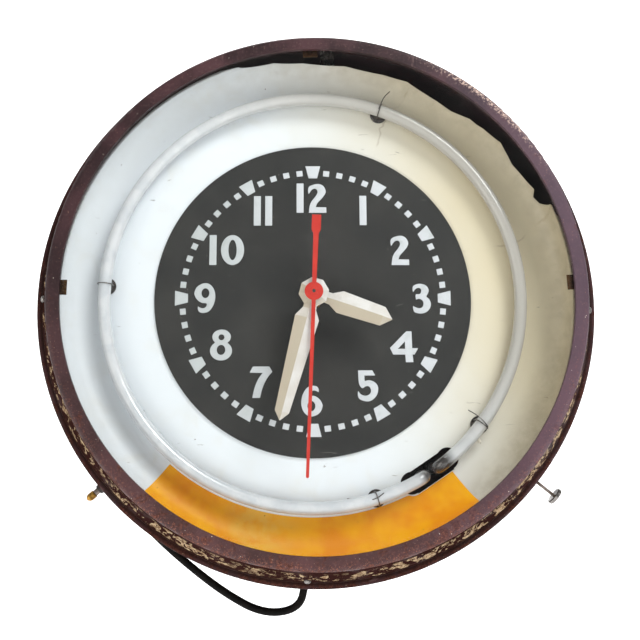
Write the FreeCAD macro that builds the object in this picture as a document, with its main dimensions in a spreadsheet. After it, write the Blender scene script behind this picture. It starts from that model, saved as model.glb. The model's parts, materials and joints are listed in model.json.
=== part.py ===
import FreeCAD, Part
import math
import os
import re

import Sketcher
from FreeCAD import Placement, Rotation, Vector

# A round, wall-hung neon advertising clock.
# Frame: +Z up, the face looks along -Y, and the wall is the plane y = 0.
# The origin is the centre of the case's rear rim.
# "Level" is a distance forward from the wall, so a point at level w has y = -w.
# Turned pieces are drawn as (radius, distance along the axis) profiles.

DIMENSIONS = [
    # the face sits a little left of and above the centre of the case
    ("axis_shift_x", -4.5), ("axis_shift_z", 1.5),
    # case drum, flared shoulder and wired bead
    ("case_radius", 264), ("sheet", 1.2), ("neck_radius", 248.4), ("neck_level", 146),
    ("shoulder_level", 141), ("shoulder_radius", 252), ("flare_level", 120), ("flare_radius", 263),
    ("drum_level", 117.6), ("bead_level", 112), ("bead_ring_radius", 264.5), ("bead_radius", 5.5),
    ("flange_inner_radius", 240), ("wall_hole_circle_radius", 251), ("wall_hole_radius", 2.6),
    # bezel, glass and clips
    ("bezel_inner_radius", 236.4), ("bezel_outer_radius", 250), ("bezel_front", 164),
    ("bezel_rear", 143), ("bezel_lip_level", 160), ("bezel_round", 5), ("lip_round", 0.5),
    ("glass_radius", 244), ("glass_level", 157.5), ("glass_thickness", 2.4),
    ("clip_width", 14), ("clip_thickness", 0.8),
    # dial and reflector
    ("dial_level", 120), ("dial_radius", 152.4), ("dial_thickness", 2),
    ("reflector_level", 118), ("reflector_sheet", 1), ("reflector_edge_radius", 243.5),
    ("pan_flat_radius", 215), ("pan_rim_width", 26.1), ("pan_rim_height", 22),
    # neon tube
    ("tube_ring_radius", 198), ("tube_level", 130), ("tube_radius", 6), ("tube_wall", 1.1),
    ("tube_bend_radius", 9), ("tube_end_level", 82), ("tube_start_angle", -52),
    ("tube_stop_angle", 298.8), ("slot_angle", -56.6), ("slot_length", 62), ("slot_width", 21),
    # hands
    ("hour_hand_level", 144.5), ("minute_hand_level", 149.5), ("second_hand_level", 154.6),
    ("hour_hand_length", 77.2), ("minute_hand_length", 122.8), ("second_hand_length", 170.7),
    ("second_tail_length", 73), ("hour_angle", 109), ("minute_angle", 194.9),
    ("second_angle", 182.2), ("hand_thickness", 0.6), ("hand_ridge", 2.4),
    # movement
    ("plate_radius", 64), ("plate_thickness", 2), ("front_plate_level", 115),
    ("rear_plate_level", 76), ("pillar_radius", 3), ("pillar_circle", 58),
    ("running_gap", 0.05), ("second_arbor_radius", 1.6), ("minute_pipe_radius", 2.85),
    ("hour_pipe_radius", 3.95), ("bush_radius", 6), ("arbor_radius", 1.2),
    ("going_distance", 32), ("going_angle", 150), ("motion_distance", 34), ("motion_angle", -39),
    # setting gear
    ("setting_level", 88), ("push_travel", 4), ("set_rod_radius", 1.5), ("sleeve_radius", 3.5),
    ("set_bushing_radius", 6), ("set_knob_radius", 8.3), ("set_knob_thickness", 4),
    ("set_knob_distance", 298.6),
    # switch
    ("switch_angle", 220.5), ("switch_level", 88), ("switch_bushing_radius", 4.6),
    ("switch_stem_radius", 2), ("switch_knob_radius", 3.7),
    # back cover and hanger
    ("cover_radius", 261.5), ("cover_level", 27), ("cover_sheet", 1),
    ("hanger_centre_z", 200), ("hanger_width", 44), ("hanger_sheet", 2), ("hanger_hole_radius", 4.5),
    # mains cord
    ("cord_radius", 3.3), ("cord_level", 80), ("cord_angle", 267.3),
]

doc = FreeCAD.newDocument("neon_clock")
sheet = doc.addObject("Spreadsheet::Sheet", "Dims")
for row, (alias, value) in enumerate(DIMENSIONS, start=1):
    sheet.set("A%d" % row, alias.replace("_", " "))
    sheet.set("B%d" % row, str(value))
    sheet.setAlias("B%d" % row, alias)
doc.recompute()

ALIASES = {alias for alias, _ in DIMENSIONS}
FRONT = Vector(0, -1, 0)
UP = Vector(0, 0, 1)
NODES = {}


def size(alias):
    """The value of one cell of the sheet."""
    return float(sheet.get(alias))


def bound(expression):
    """Point each alias in an expression at its cell in the sheet."""
    def cell(match):
        word = match.group(0)
        return "Dims." + word if word in ALIASES else word
    return re.sub(r"[a-z][a-z_]*", cell, str(expression))


def bind(feature, prop, expression):
    feature.setExpression(prop, bound(expression))


def node(feature, name):
    """Name a finished sub-part: its label is its file name."""
    feature.Label = name
    NODES[name] = feature
    return feature


def place(origin, direction, start=UP):
    """The placement that carries the start direction to the given one."""
    return Placement(origin, Rotation(start, direction))


def polar(centre, radius, angle, level):
    """A point at an angle about a Y axis, at a level in front of the wall."""
    turn = math.radians(angle)
    return Vector(centre.x + radius * math.cos(turn), -level, centre.z + radius * math.sin(turn))


def spoke(angle):
    turn = math.radians(angle)
    return Vector(math.cos(turn), 0, math.sin(turn))


CASE = Vector(0, 0, 0)
DIAL = Vector(size("axis_shift_x"), 0, size("axis_shift_z"))


# ---------------------------------------------------------------- feature helpers

def polygon_sketch(body, name, points):
    """A closed polygon on the body's XY plane, every corner tied to the sheet."""
    sketch = body.newObject("Sketcher::SketchObject", name)
    plane = next(f for f in body.Origin.OriginFeatures if f.Role == "XY_Plane")
    sketch.AttachmentSupport = [(plane, "")]
    sketch.MapMode = "FlatFace"
    values = []
    for across, along in points:
        values.append(Vector(evaluate(across), evaluate(along), 0))
    count = len(values)
    for index in range(count):
        line = Part.LineSegment(values[index], values[(index + 1) % count])
        sketch.addGeometry(line, False)
    for index in range(count):
        sketch.addConstraint(Sketcher.Constraint("Coincident", index, 2, (index + 1) % count, 1))
    for index, (across, along) in enumerate(points):
        tie_corner(sketch, index, "DistanceX", -2, across, values[index].x)
        tie_corner(sketch, index, "DistanceY", -1, along, values[index].y)
    return sketch


def tie_corner(sketch, index, kind, axis, expression, value):
    """Fix one coordinate of a corner, by its axis when the coordinate is zero."""
    if abs(value) < 1e-9:
        sketch.addConstraint(Sketcher.Constraint("PointOnObject", index, 1, axis))
        return
    number = sketch.addConstraint(Sketcher.Constraint(kind, -1, 1, index, 1, value))
    sketch.setExpression("Constraints[%d]" % number, bound(expression))


def evaluate(expression):
    """The value of an expression in the sheet's aliases, by plain left-to-right sums."""
    total = 0.0
    for sign, term in re.findall(r"([+-]?)\s*([a-z_]+|[0-9.]+)", str(expression)):
        value = size(term) if term in ALIASES else float(term)
        total += -value if sign == "-" else value
    return total


def turned(name, profile, origin, direction):
    """A lathe-turned body: a (radius, along) profile revolved about its axis."""
    body = doc.addObject("PartDesign::Body", name + "_body")
    sketch = polygon_sketch(body, name + "_profile", profile)
    revolution = body.newObject("PartDesign::Revolution", name + "_turn")
    revolution.Profile = sketch
    revolution.ReferenceAxis = (sketch, ["V_Axis"])
    revolution.Angle = 360
    body.Placement = place(origin, direction, Vector(0, 1, 0))
    return body


def pad(name, outline, thickness, placement):
    """A flat body: a polygon padded along the sketch's normal."""
    body = doc.addObject("PartDesign::Body", name + "_body")
    sketch = polygon_sketch(body, name + "_outline", outline)
    feature = body.newObject("PartDesign::Pad", name + "_pad")
    feature.Profile = sketch
    feature.Length = evaluate(thickness)
    bind(feature, "Length", thickness)
    body.Placement = placement
    return body


def round_rim(body, name, radius, along, amount):
    """Round the circular edge of a turned body found by its radius and place on the axis."""
    doc.recompute()
    base = body.Tip
    chosen = []
    for number, edge in enumerate(base.Shape.Edges, start=1):
        if not isinstance(edge.Curve, Part.Circle):
            continue
        middle = edge.Curve.Center
        if abs(edge.Curve.Radius - radius) < 1e-3 and abs(middle.y - along) < 1e-3:
            chosen.append("Edge%d" % number)
    fillet = body.newObject("PartDesign::Fillet", name)
    fillet.Base = (base, chosen)
    bind(fillet, "Radius", amount)
    return fillet


def cylinder(name, radius, length, origin, direction):
    solid = doc.addObject("Part::Cylinder", name)
    bind(solid, "Radius", radius)
    bind(solid, "Height", length)
    solid.Placement = place(origin, direction)
    return solid


def block(name, length, width, height, placement):
    solid = doc.addObject("Part::Box", name)
    bind(solid, "Length", length)
    bind(solid, "Width", width)
    bind(solid, "Height", height)
    solid.Placement = placement
    return solid


def fused(name, *solids):
    result = doc.addObject("Part::MultiFuse", name)
    result.Shapes = list(solids)
    return result


def cut(name, base, *tools):
    result = doc.addObject("Part::Cut", name)
    result.Base = base
    result.Tool = tools[0] if len(tools) == 1 else fused(name + "_tools", *tools)
    return result


def group(name, *solids):
    """Separate pieces of one kind, kept apart in one node."""
    result = doc.addObject("Part::Compound", name + "_group")
    result.Links = list(solids)
    return node(result, name)


def repeated(name, pattern, placements):
    """Copies of one pattern piece, each a solid of its own."""
    doc.recompute()
    shape = pattern.Shape.copy()
    base = shape.Placement
    copies = []
    for placement in placements:
        copy = shape.copy()
        copy.Placement = placement.multiply(base)
        copies.append(copy)
    result = doc.addObject("Part::Feature", name + "_set")
    result.Shape = Part.makeCompound(copies)
    return node(result, name)


def shaped(name, shape):
    result = doc.addObject("Part::Feature", name + "_shape")
    result.Shape = shape
    return node(result, name)


def turn_about(centre, angle):
    """Turn about a Y axis, so that angles grow from +X towards +Z."""
    return Placement(Vector(0, 0, 0), Rotation(Vector(0, 1, 0), -angle), Vector(centre.x, 0, centre.z))


def radial_frame(centre, angle, level):
    """Local X points outwards along the spoke, local Z forwards from the wall."""
    outwards = spoke(angle)
    rotation = Rotation(outwards, Vector(0, 0, 0), FRONT, "XZY")
    return Placement(Vector(centre.x, -level, centre.z), rotation)


def cable(points, radius, bend):
    """A round lead: straight runs between its points, joined by arcs at the corners."""
    edges = []
    last = points[0]
    for before, corner, after in zip(points, points[1:], points[2:]):
        backward = (before - corner).normalize()
        forward = (after - corner).normalize()
        half = backward.getAngle(forward) / 2
        reach = bend / math.tan(half)
        room = 0.48 * min(before.distanceToPoint(corner), corner.distanceToPoint(after))
        curve = bend
        if reach > room:
            curve = bend * room / reach
            reach = room
        bisector = (backward + forward).normalize()
        centre = corner + bisector * (curve / math.sin(half))
        enter = corner + backward * reach
        leave = corner + forward * reach
        edges.append(Part.LineSegment(last, enter).toShape())
        edges.append(Part.Arc(enter, centre - bisector * curve, leave).toShape())
        last = leave
    edges.append(Part.LineSegment(last, points[-1]).toShape())
    ring = Part.Wire(Part.makeCircle(radius, points[0], points[1] - points[0]))
    return Part.Wire(edges).makePipeShell([ring], True, False)


# ---------------------------------------------------------------- case, bezel and glass

WALL_HOLE_ANGLES = (0, 90, 180, 270)
SCREW_ANGLES = (357.6, 87.6, 180, 267.6)
CLIP_ANGLES = (2.3, 91.8, 178.9)


def flare_point(level):
    """The case's outer radius on the flared shoulder at a level."""
    low, high = size("flare_level"), size("shoulder_level")
    share = (high - level) / (high - low)
    return size("shoulder_radius") + share * (size("flare_radius") - size("shoulder_radius"))


def flare_normal(angle):
    """The outward normal of the flared shoulder at an angle round the case."""
    run = size("shoulder_level") - size("flare_level")
    rise = size("flare_radius") - size("shoulder_radius")
    return (spoke(angle) * run + FRONT * rise).normalize()


CASE_SCREW_LEVEL = 123
CORD_NOTCH_ANGLE = 229
CORD_NOTCH_WIDTH = 13
CORD_NOTCH_DEPTH = 30
CORD_NOTCH_LEVEL = 14


def case_body():
    """Spun drum with a turned-in rear flange, a flared shoulder and a neck for the bezel."""
    profile = [
        ("flange_inner_radius", "0"), ("case_radius", "0"), ("case_radius", "drum_level"),
        ("flare_radius", "flare_level"), ("shoulder_radius", "shoulder_level"),
        ("neck_radius", "shoulder_level + sheet"), ("neck_radius", "neck_level"),
        ("neck_radius - sheet", "neck_level"), ("neck_radius - sheet", "shoulder_level"),
        ("shoulder_radius - sheet", "shoulder_level - sheet"),
        ("flare_radius - sheet", "flare_level - 0.6"),
        ("case_radius - sheet", "drum_level"), ("case_radius - sheet", "sheet"),
        ("flange_inner_radius", "sheet"),
    ]
    shell = turned("case_shell", profile, CASE, FRONT)
    bead = doc.addObject("Part::Torus", "case_bead")
    bind(bead, "Radius1", "bead_ring_radius")
    bind(bead, "Radius2", "bead_radius")
    bead.Placement = place(CASE + FRONT * size("bead_level"), FRONT)
    hollow = cylinder("case_hollow", "case_radius - sheet", 20, FRONT * 102, FRONT)
    rim = cut("case_rim", bead, hollow)
    tools = []
    for angle in SCREW_ANGLES:
        middle = polar(CASE, flare_point(CASE_SCREW_LEVEL), angle, CASE_SCREW_LEVEL)
        normal = flare_normal(angle)
        tools.append(cylinder("screw_hole", 1.7, 12, middle - normal * 6, normal))
    for angle in WALL_HOLE_ANGLES:
        hole = polar(CASE, size("wall_hole_circle_radius"), angle, -5)
        tools.append(cylinder("wall_hole", "wall_hole_radius", 10, hole, FRONT))
    switch = polar(CASE, 250, size("switch_angle"), size("switch_level"))
    tools.append(cylinder("switch_hole", "switch_bushing_radius", 30, switch,
                          spoke(size("switch_angle"))))
    setting = polar(DIAL, 255, size("motion_angle"), size("setting_level"))
    tools.append(cylinder("setting_hole", "set_bushing_radius", 30, setting,
                          spoke(size("motion_angle"))))
    cord = polar(CASE, 250, size("cord_angle"), size("cord_level"))
    tools.append(cylinder("cord_hole", "cord_radius + 2", 30, cord, spoke(size("cord_angle"))))
    frame = radial_frame(CASE, CORD_NOTCH_ANGLE, -1)
    corner = Placement(Vector(236, -CORD_NOTCH_WIDTH / 2, 0), Rotation())
    tools.append(block("cord_notch", 34, CORD_NOTCH_WIDTH, CORD_NOTCH_DEPTH + 1, frame.multiply(corner)))
    return node(cut("case", fused("case_outer", shell, rim), *tools), "case_body")


def bezel_ring():
    """Rolled ring over the glass: rounded front, skirt over the case neck, turned-back lip."""
    profile = [
        ("bezel_inner_radius", "bezel_lip_level"), ("bezel_inner_radius", "bezel_front"),
        ("bezel_outer_radius", "bezel_front"), ("bezel_outer_radius", "bezel_rear"),
        ("bezel_outer_radius - sheet", "bezel_rear"),
        ("bezel_outer_radius - sheet", "bezel_front - bezel_round"),
        ("bezel_outer_radius - bezel_round", "bezel_front - sheet"),
        ("bezel_inner_radius + sheet", "bezel_front - sheet"),
        ("bezel_inner_radius + sheet", "bezel_lip_level"),
    ]
    ring = turned("bezel", profile, CASE, FRONT)
    round_rim(ring, "bezel_edge", size("bezel_outer_radius"), size("bezel_front"), "bezel_round")
    round_rim(ring, "bezel_lip", size("bezel_inner_radius"), size("bezel_front"), "lip_round")
    return node(ring, "bezel_ring")


def glass_lens():
    glass = cylinder("glass", "glass_radius", "glass_thickness",
                     FRONT * size("glass_level"), FRONT)
    return node(glass, "glass_lens")


def glass_clips():
    """Three bent tabs on the bezel skirt that hold the glass forward against the lip."""
    outline = [
        ("231", "glass_level - clip_thickness"),
        ("248.6 - clip_thickness", "glass_level - clip_thickness"),
        ("248.6 - clip_thickness", "neck_level + 2"), ("248.6", "neck_level + 2"),
        ("248.6", "glass_level"), ("231", "glass_level"),
    ]
    clip = pad("glass_clip", outline, "clip_width", Placement())
    half = size("clip_width") / 2
    centred = Placement(Vector(0, 0, -half), Rotation())
    places = []
    for angle in CLIP_ANGLES:
        places.append(turn_about(CASE, angle).multiply(lay_on_spoke()).multiply(centred))
    return repeated("glass_clips", clip, places)


def lay_on_spoke():
    """Carry a sketch's (across, along) onto (outwards, forwards) along +X."""
    return Placement(Vector(0, 0, 0), Rotation(Vector(1, 0, 0), FRONT, Vector(0, 0, 1), "XYZ"))


def case_screws():
    """Four domed screws through the flared shoulder into the reflector brackets."""
    profile = [("0", "-6"), ("1.6", "-6"), ("1.6", "0"), ("3.4", "0"), ("3.2", "0.9"),
               ("2.3", "1.8"), ("1.2", "2.1"), ("0.5", "2.1"), ("0.5", "1.5"), ("0", "1.5")]
    screws = []
    for angle in SCREW_ANGLES:
        middle = polar(CASE, flare_point(CASE_SCREW_LEVEL), angle, CASE_SCREW_LEVEL)
        normal = flare_normal(angle)
        screws.append(turned("case_screw", profile, middle + normal * 0.05, normal))
    return group("case_screws", *screws)


def reflector_brackets():
    """Four bent straps, spot-welded to the reflector's back, that reach the case shoulder."""
    outline = [("196", "115.4"), ("261.9", "115.4"), ("261.9", "117.6"), ("255.8", "129.8"),
               ("254.3", "129.0"), ("260", "117"), ("196", "117")]
    strap = pad("bracket", outline, "14", Placement())
    centred = Placement(Vector(0, 0, -7), Rotation())
    straps = []
    for angle in SCREW_ANGLES:
        middle = polar(CASE, flare_point(CASE_SCREW_LEVEL), angle, CASE_SCREW_LEVEL)
        normal = flare_normal(angle)
        hole = cylinder("bracket_hole", 1.6, 12, middle - normal * 10, normal)
        copy = doc.addObject("Part::Feature", "bracket_copy")
        doc.recompute()
        copy.Shape = strap.Shape.copy()
        copy.Placement = turn_about(CASE, angle).multiply(lay_on_spoke()).multiply(centred)
        straps.append(cut("bracket_drilled", copy, hole))
    return group("reflector_brackets", *straps)


# ---------------------------------------------------------------- dial and reflector

TIE_ANGLES = (176.6, 70.6, -37.9, -73.0)
TIE_REACH = 6.9


PAN_STEPS = 12
RIM_BREAK = ((-96, 224), (-66, 231), (-43, 236), (-14, 237.7), (28, 235.5), (66, 227), (89.6, 219.5),
             (120.2, 200.3), (133.4, 190.7), (151.2, 181.4), (157.7, 175.6), (164.1, 170.8),
             (173.9, 161.6), (180.5, 155.6), (187.8, 142.9), (191.9, 134.8), (198.3, 126.7),
             (206.6, 115), (211.8, 108.2), (211.5, 101.3), (216.8, 94.4), (225.4, 88.8), (228.3, 80.9),
             (236, 70), (262, 72), (215, 170), (170, 215), (100, 250), (0, 262), (-80, 255), (-110, 228))


def rim_break():
    """The stretch of the pan's rim that has rusted away to a ragged edge, as a cutting tool."""
    outline = [(str(across), str(up)) for across, up in RIM_BREAK]
    facing = Rotation(Vector(1, 0, 0), UP, FRONT, "XYZ")
    return pad("rim_break", outline, "30", Placement(FRONT * 116, facing))


def reflector():
    """Shallow white pan with a curved rim, a slot for the tube's ends and the tie holes."""
    front, back = [], []
    for step in range(PAN_STEPS + 1):
        turn = math.pi / 2 * step / PAN_STEPS
        out, lean = math.sin(turn), math.cos(turn)
        radius = f"pan_flat_radius + pan_rim_width * {out:.5f}"
        level = f"reflector_level + pan_rim_height * {1 - lean:.5f}"
        front.append((radius, level))
        back.append((f"{radius} + reflector_sheet * {out:.5f}",
                     f"{level} - reflector_sheet * {max(lean, 0.7):.5f}"))
    rim_top = "reflector_level + pan_rim_height"
    lip = [("reflector_edge_radius", f"{rim_top} - reflector_sheet"), ("reflector_edge_radius", rim_top)]
    floor = [("0", "reflector_level"), ("0", "reflector_level - reflector_sheet")]
    profile = back + lip + front[::-1] + floor
    pan = turned("reflector", profile, CASE, FRONT)
    slot_middle = size("slot_length") / 2 - size("slot_width") / 2
    step = math.degrees(slot_middle / size("tube_ring_radius"))
    tools = [cylinder("bush_hole", "bush_radius", 20, DIAL + FRONT * 110, FRONT), rim_break()]
    for side in (-1, 1):
        end = polar(DIAL, size("tube_ring_radius"), size("slot_angle") + side * step, 110)
        tools.append(cylinder("slot_end", "slot_width / 2", 20, end, FRONT))
    frame = radial_frame(DIAL, size("slot_angle"), 110)
    offset = Vector(size("tube_ring_radius") - size("slot_width") / 2, -slot_middle, 0)
    slot = block("slot_middle", "slot_width", "slot_length - slot_width", 20,
                 frame.multiply(Placement(offset, Rotation())))
    tools.append(slot)
    for angle in TIE_ANGLES:
        for side in (-1, 1):
            hole = polar(DIAL, size("tube_ring_radius") + side * TIE_REACH, angle, 112)
            tools.append(cylinder("tie_hole", 1.3, 20, hole, FRONT))
    return node(cut("reflector_pan", pan, *tools), "reflector")


def dial_plate():
    profile = [("bush_radius", "reflector_level"), ("dial_radius", "reflector_level"),
               ("dial_radius", "dial_level - 0.4"), ("dial_radius - 0.4", "dial_level"),
               ("bush_radius", "dial_level")]
    return node(turned("dial", profile, DIAL, FRONT), "dial_plate")


# ---------------------------------------------------------------- neon tube

def tube_path(end_level):
    """Ring of glass tube whose two ends bend straight back through the reflector."""
    ring, level, bend = size("tube_ring_radius"), size("tube_level"), size("tube_bend_radius")
    start, stop = size("tube_start_angle"), size("tube_stop_angle")
    middle = polar(DIAL, ring, (start + stop) / 2, level)

    def end_of(angle, side):
        joint = polar(DIAL, ring, angle, level)
        along = spoke(angle + 90) * side
        back = -FRONT
        corner = joint + back * bend
        quarter = corner + along * (bend * math.sin(math.pi / 4)) - back * (bend * math.cos(math.pi / 4))
        elbow = corner + along * bend
        tail = Vector(elbow.x, -end_level, elbow.z)
        return joint, quarter, elbow, tail

    joint_one, quarter_one, elbow_one, tail_one = end_of(start, -1)
    joint_two, quarter_two, elbow_two, tail_two = end_of(stop, 1)
    edges = [
        Part.LineSegment(tail_one, elbow_one).toShape(),
        Part.Arc(elbow_one, quarter_one, joint_one).toShape(),
        Part.Arc(joint_one, middle, joint_two).toShape(),
        Part.Arc(joint_two, quarter_two, elbow_two).toShape(),
        Part.LineSegment(elbow_two, tail_two).toShape(),
    ]
    return Part.Wire(edges), tail_one, tail_two


def neon_tube():
    path, tail, _ = tube_path(size("tube_end_level"))
    outer = path.makePipeShell([Part.Wire(Part.makeCircle(size("tube_radius"), tail, FRONT))], True, False)
    bore = size("tube_radius") - size("tube_wall")
    inner = path.makePipeShell([Part.Wire(Part.makeCircle(bore, tail, FRONT))], True, False)
    return shaped("neon_tube", outer.cut(inner))


def tube_tails():
    _, tail_one, tail_two = tube_path(size("tube_end_level"))
    return tail_one, tail_two


def electrode_boots():
    """Moulded caps pushed over the two back-turned tube ends."""
    profile = [("1.7", "-18"), ("5.2", "-18"), ("6.7", "-14"), ("6.7", "10"), ("tube_radius", "10"),
               ("tube_radius", "0"), ("1.7", "0")]
    boots = [turned("boot", profile, tail, FRONT) for tail in tube_tails()]
    return group("electrode_boots", *boots)


def tube_supports():
    """Round insulating posts that carry the glass tube off the reflector under each tie."""
    profile = [("0", "0"), ("8.4", "0"), ("8.4", "2"), ("6.4", "3.6"), ("5.4", "8.5"), ("0", "8.5")]
    posts = []
    for angle in TIE_ANGLES:
        foot = polar(DIAL, size("tube_ring_radius"), angle, size("reflector_level"))
        post = turned("post", profile, foot, FRONT)
        ring = doc.addObject("Part::Torus", "post_seat")
        bind(ring, "Radius1", "tube_ring_radius")
        bind(ring, "Radius2", "tube_radius")
        ring.Placement = place(Vector(DIAL.x, -size("tube_level"), DIAL.z), FRONT)
        tools = [ring]
        for side in (-1, 1):
            start = foot + spoke(angle) * (side * TIE_REACH) - FRONT
            tools.append(cylinder("post_hole", 0.9, 12, start, FRONT))
        posts.append(cut("post_cut", post, *tools))
    return group("tube_supports", *posts)


def tie_wires():
    """A loop of soft wire round the tube and through the reflector at each support."""
    reach, wire = TIE_REACH, 0.5
    loops = []
    for angle in TIE_ANGLES:
        outwards = spoke(angle)
        middle = polar(DIAL, size("tube_ring_radius"), angle, size("tube_level"))
        back = polar(DIAL, size("tube_ring_radius"), angle, 114.4)
        near, far = outwards * -reach, outwards * reach
        edges = [
            Part.LineSegment(back + near, middle + near).toShape(),
            Part.Arc(middle + near, middle + FRONT * reach, middle + far).toShape(),
            Part.LineSegment(middle + far, back + far).toShape(),
            Part.LineSegment(back + far, back + near).toShape(),
        ]
        start = Part.Wire(Part.makeCircle(wire, back + near, FRONT))
        legs = Part.Wire(edges[:3]).makePipeShell([start], True, False)
        cross = Part.makeCylinder(wire, 2 * reach, back + near, outwards)
        corners = [Part.makeSphere(wire, back + near), Part.makeSphere(wire, back + far)]
        loops.append(legs.fuse([cross] + corners))
    return shaped("tie_wires", Part.makeCompound(loops))


# ---------------------------------------------------------------- hands

def faceted_boss(radius, thickness, ridge):
    """An eight-sided boss with a flat front, thinned from its rim by sloping facets."""
    rings = []
    for level, reach in ((0, radius), (thickness, radius), (thickness + ridge, radius * 0.56)):
        corners = []
        for number in range(8):
            angle = math.radians(22.5 + 45 * number)
            corners.append(Vector(reach * math.sin(angle), -level, reach * math.cos(angle)))
        rings.append(Part.makePolygon(corners + corners[:1]))
    return Part.makeLoft(rings, True, True)


def faceted_hand(stations, boss, bore):
    """A pointed hand with a raised centre ridge, from (distance, half width) stations."""
    thickness, ridge = size("hand_thickness"), size("hand_ridge")
    sections = []
    for distance, half, rise in stations:
        shape = [Vector(-half, 0, distance), Vector(half, 0, distance),
                 Vector(half, -thickness, distance), Vector(0, -thickness - ridge * rise, distance),
                 Vector(-half, -thickness, distance)]
        sections.append(Part.makePolygon(shape + shape[:1]))
    blade = Part.makeLoft(sections, True, True)
    solid = blade.fuse([faceted_boss(boss, thickness, ridge)]).removeSplitter()
    return solid.cut(Part.makeCylinder(bore, 20, Vector(0, 10, 0), FRONT))


def hang(shape, angle, level):
    """Set a hand drawn pointing up to its angle clockwise from twelve."""
    turn = Placement(Vector(DIAL.x, -level, DIAL.z), Rotation(Vector(0, 1, 0), angle))
    shape.Placement = turn.multiply(shape.Placement)
    return shape


def hour_hand():
    length = size("hour_hand_length")
    stations = [(0, 5, 0.6), (17, 5.6, 0.6), (26, 10.8, 1), (length - 9.4, 9.2, 1), (length, 0.3, 0.1)]
    blade = faceted_hand(stations, 13.2, size("hour_pipe_radius"))
    return shaped("hour_hand", hang(blade, size("hour_angle"), size("hour_hand_level")))


def minute_hand():
    length = size("minute_hand_length")
    stations = [(0, 5.6, 0.6), (16, 6.2, 0.6), (25, 11.4, 1), (length - 8.2, 6.7, 1),
                (length, 0.3, 0.1)]
    blade = faceted_hand(stations, 14.3, size("minute_pipe_radius"))
    return shaped("minute_hand", hang(blade, size("minute_angle"), size("minute_hand_level")))


def second_hand():
    """Thin stem with a small hub disc and a flat paddle on the tail."""
    length, tail = size("second_hand_length"), size("second_tail_length")
    outline = [(-4.3, -tail), (4.3, -tail), (4.3, -tail + 14.5), (2.5, -tail + 18), (1.9, 0),
               (1.4, length - 1), (0, length), (-1.4, length - 1), (-1.9, 0),
               (-2.5, -tail + 18), (-4.3, -tail + 14.5)]
    corners = [Vector(x, 0, z) for x, z in outline]
    face = Part.Face(Part.makePolygon(corners + corners[:1]))
    blade = face.extrude(FRONT * 0.8)
    hub = Part.makeCylinder(8.6, 0.8, Vector(0, 0, 0), FRONT)
    boss = Part.makeCylinder(3.4, 1.6, Vector(0, 0, 0), FRONT)
    solid = blade.fuse([hub, boss]).removeSplitter()
    solid = solid.cut(Part.makeCylinder(size("second_arbor_radius"), 20, Vector(0, 10, 0), FRONT))
    return shaped("second_hand", hang(solid, size("second_angle"), size("second_hand_level")))


# ---------------------------------------------------------------- movement

GOING = polar(DIAL, size("going_distance"), size("going_angle"), 0)
MOTION = polar(DIAL, size("motion_distance"), size("motion_angle"), 0)
PILLAR_ANGLES = (75, 8, 290, 210)
PRESSURE = math.radians(22.5)
TEETH = {
    "second": (10, 75), "centre": (10, 80), "minute": (12, 36), "hour": (10, 40),
}


def involute(angle):
    return math.tan(angle) - angle


def gear(teeth, module, bore, level, width, centre, phase, addendum):
    """A spur gear with involute flanks; phase is the angle of one tooth's centre."""
    pitch = teeth * module / 2
    base = pitch * math.cos(PRESSURE)
    tip = pitch + addendum * module
    root = pitch - 1.25 * module
    half_pitch = math.pi / (2 * teeth) - 0.11 * module / pitch
    radii = [max(base, root), (max(base, root) + pitch) / 2, pitch, (pitch + tip) / 2, tip]
    corners = []
    for number in range(teeth):
        middle = math.radians(phase) + 2 * math.pi * number / teeth
        flank = []
        for radius in radii:
            lean = involute(math.acos(min(1.0, base / radius)))
            flank.append((radius, half_pitch + involute(PRESSURE) - lean))
        flank.insert(0, (root, flank[0][1]))
        for radius, half in flank:
            corners.append((radius, middle - half))
        for radius, half in reversed(flank):
            corners.append((radius, middle + half))
    points = [Vector(centre.x + radius * math.cos(turn), -level, centre.z + radius * math.sin(turn))
              for radius, turn in corners]
    solid = Part.Face(Part.makePolygon(points + points[:1])).extrude(FRONT * width)
    solid = solid.cut(Part.makeCylinder(bore, 3 * width, Vector(centre.x, -level + width, centre.z), FRONT))
    if pitch > 20:
        for number in range(5):
            hole = polar(centre, pitch * 0.58, phase + 72 * number, level - 1)
            solid = solid.cut(Part.makeCylinder(pitch * 0.21, width + 2, hole, FRONT))
    return solid


def module_of(pair, distance):
    pinion, wheel = TEETH[pair]
    return 2 * size(distance) / (pinion + wheel)


def meshed(pair, angle):
    """Wheel phase that puts a gap where the pinion's tooth points, seen from the wheel."""
    return angle + 180 + 180.0 / TEETH[pair][1]


def second_arbor():
    """Long centre arbor that carries the seconds hand and the first pinion."""
    module = module_of("second", "going_distance")
    pinion = gear(TEETH["second"][0], module, 0.01, 90, 4, DIAL, size("going_angle"), 0.95)
    foot = Vector(DIAL.x, -62, DIAL.z)
    arbor = Part.makeCylinder(size("second_arbor_radius"), 156.4 - 62, foot, FRONT)
    return shaped("second_arbor", arbor.fuse(pinion).removeSplitter())


def going_arbor():
    """Intermediate arbor with its ten-leaf pinion."""
    module = module_of("centre", "going_distance")
    pinion = gear(TEETH["centre"][0], module, 0.01, 95.4, 5.2, GOING, size("going_angle") + 180, 0.95)
    foot = Vector(GOING.x, -76.2, GOING.z)
    arbor = Part.makeCylinder(size("arbor_radius"), 116.8 - 76.2, foot, FRONT)
    return shaped("going_arbor", arbor.fuse(pinion).removeSplitter())


def going_wheel():
    module = module_of("second", "going_distance")
    phase = meshed("second", size("going_angle"))
    return shaped("going_wheel", gear(TEETH["second"][1], module, size("arbor_radius"), 91, 2,
                                      GOING, phase, 0.42))


def centre_wheel():
    module = module_of("centre", "going_distance")
    phase = meshed("centre", size("going_angle") + 180)
    return shaped("centre_wheel", gear(TEETH["centre"][1], module, size("minute_pipe_radius"), 97, 2,
                                       DIAL, phase, 0.42))


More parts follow.
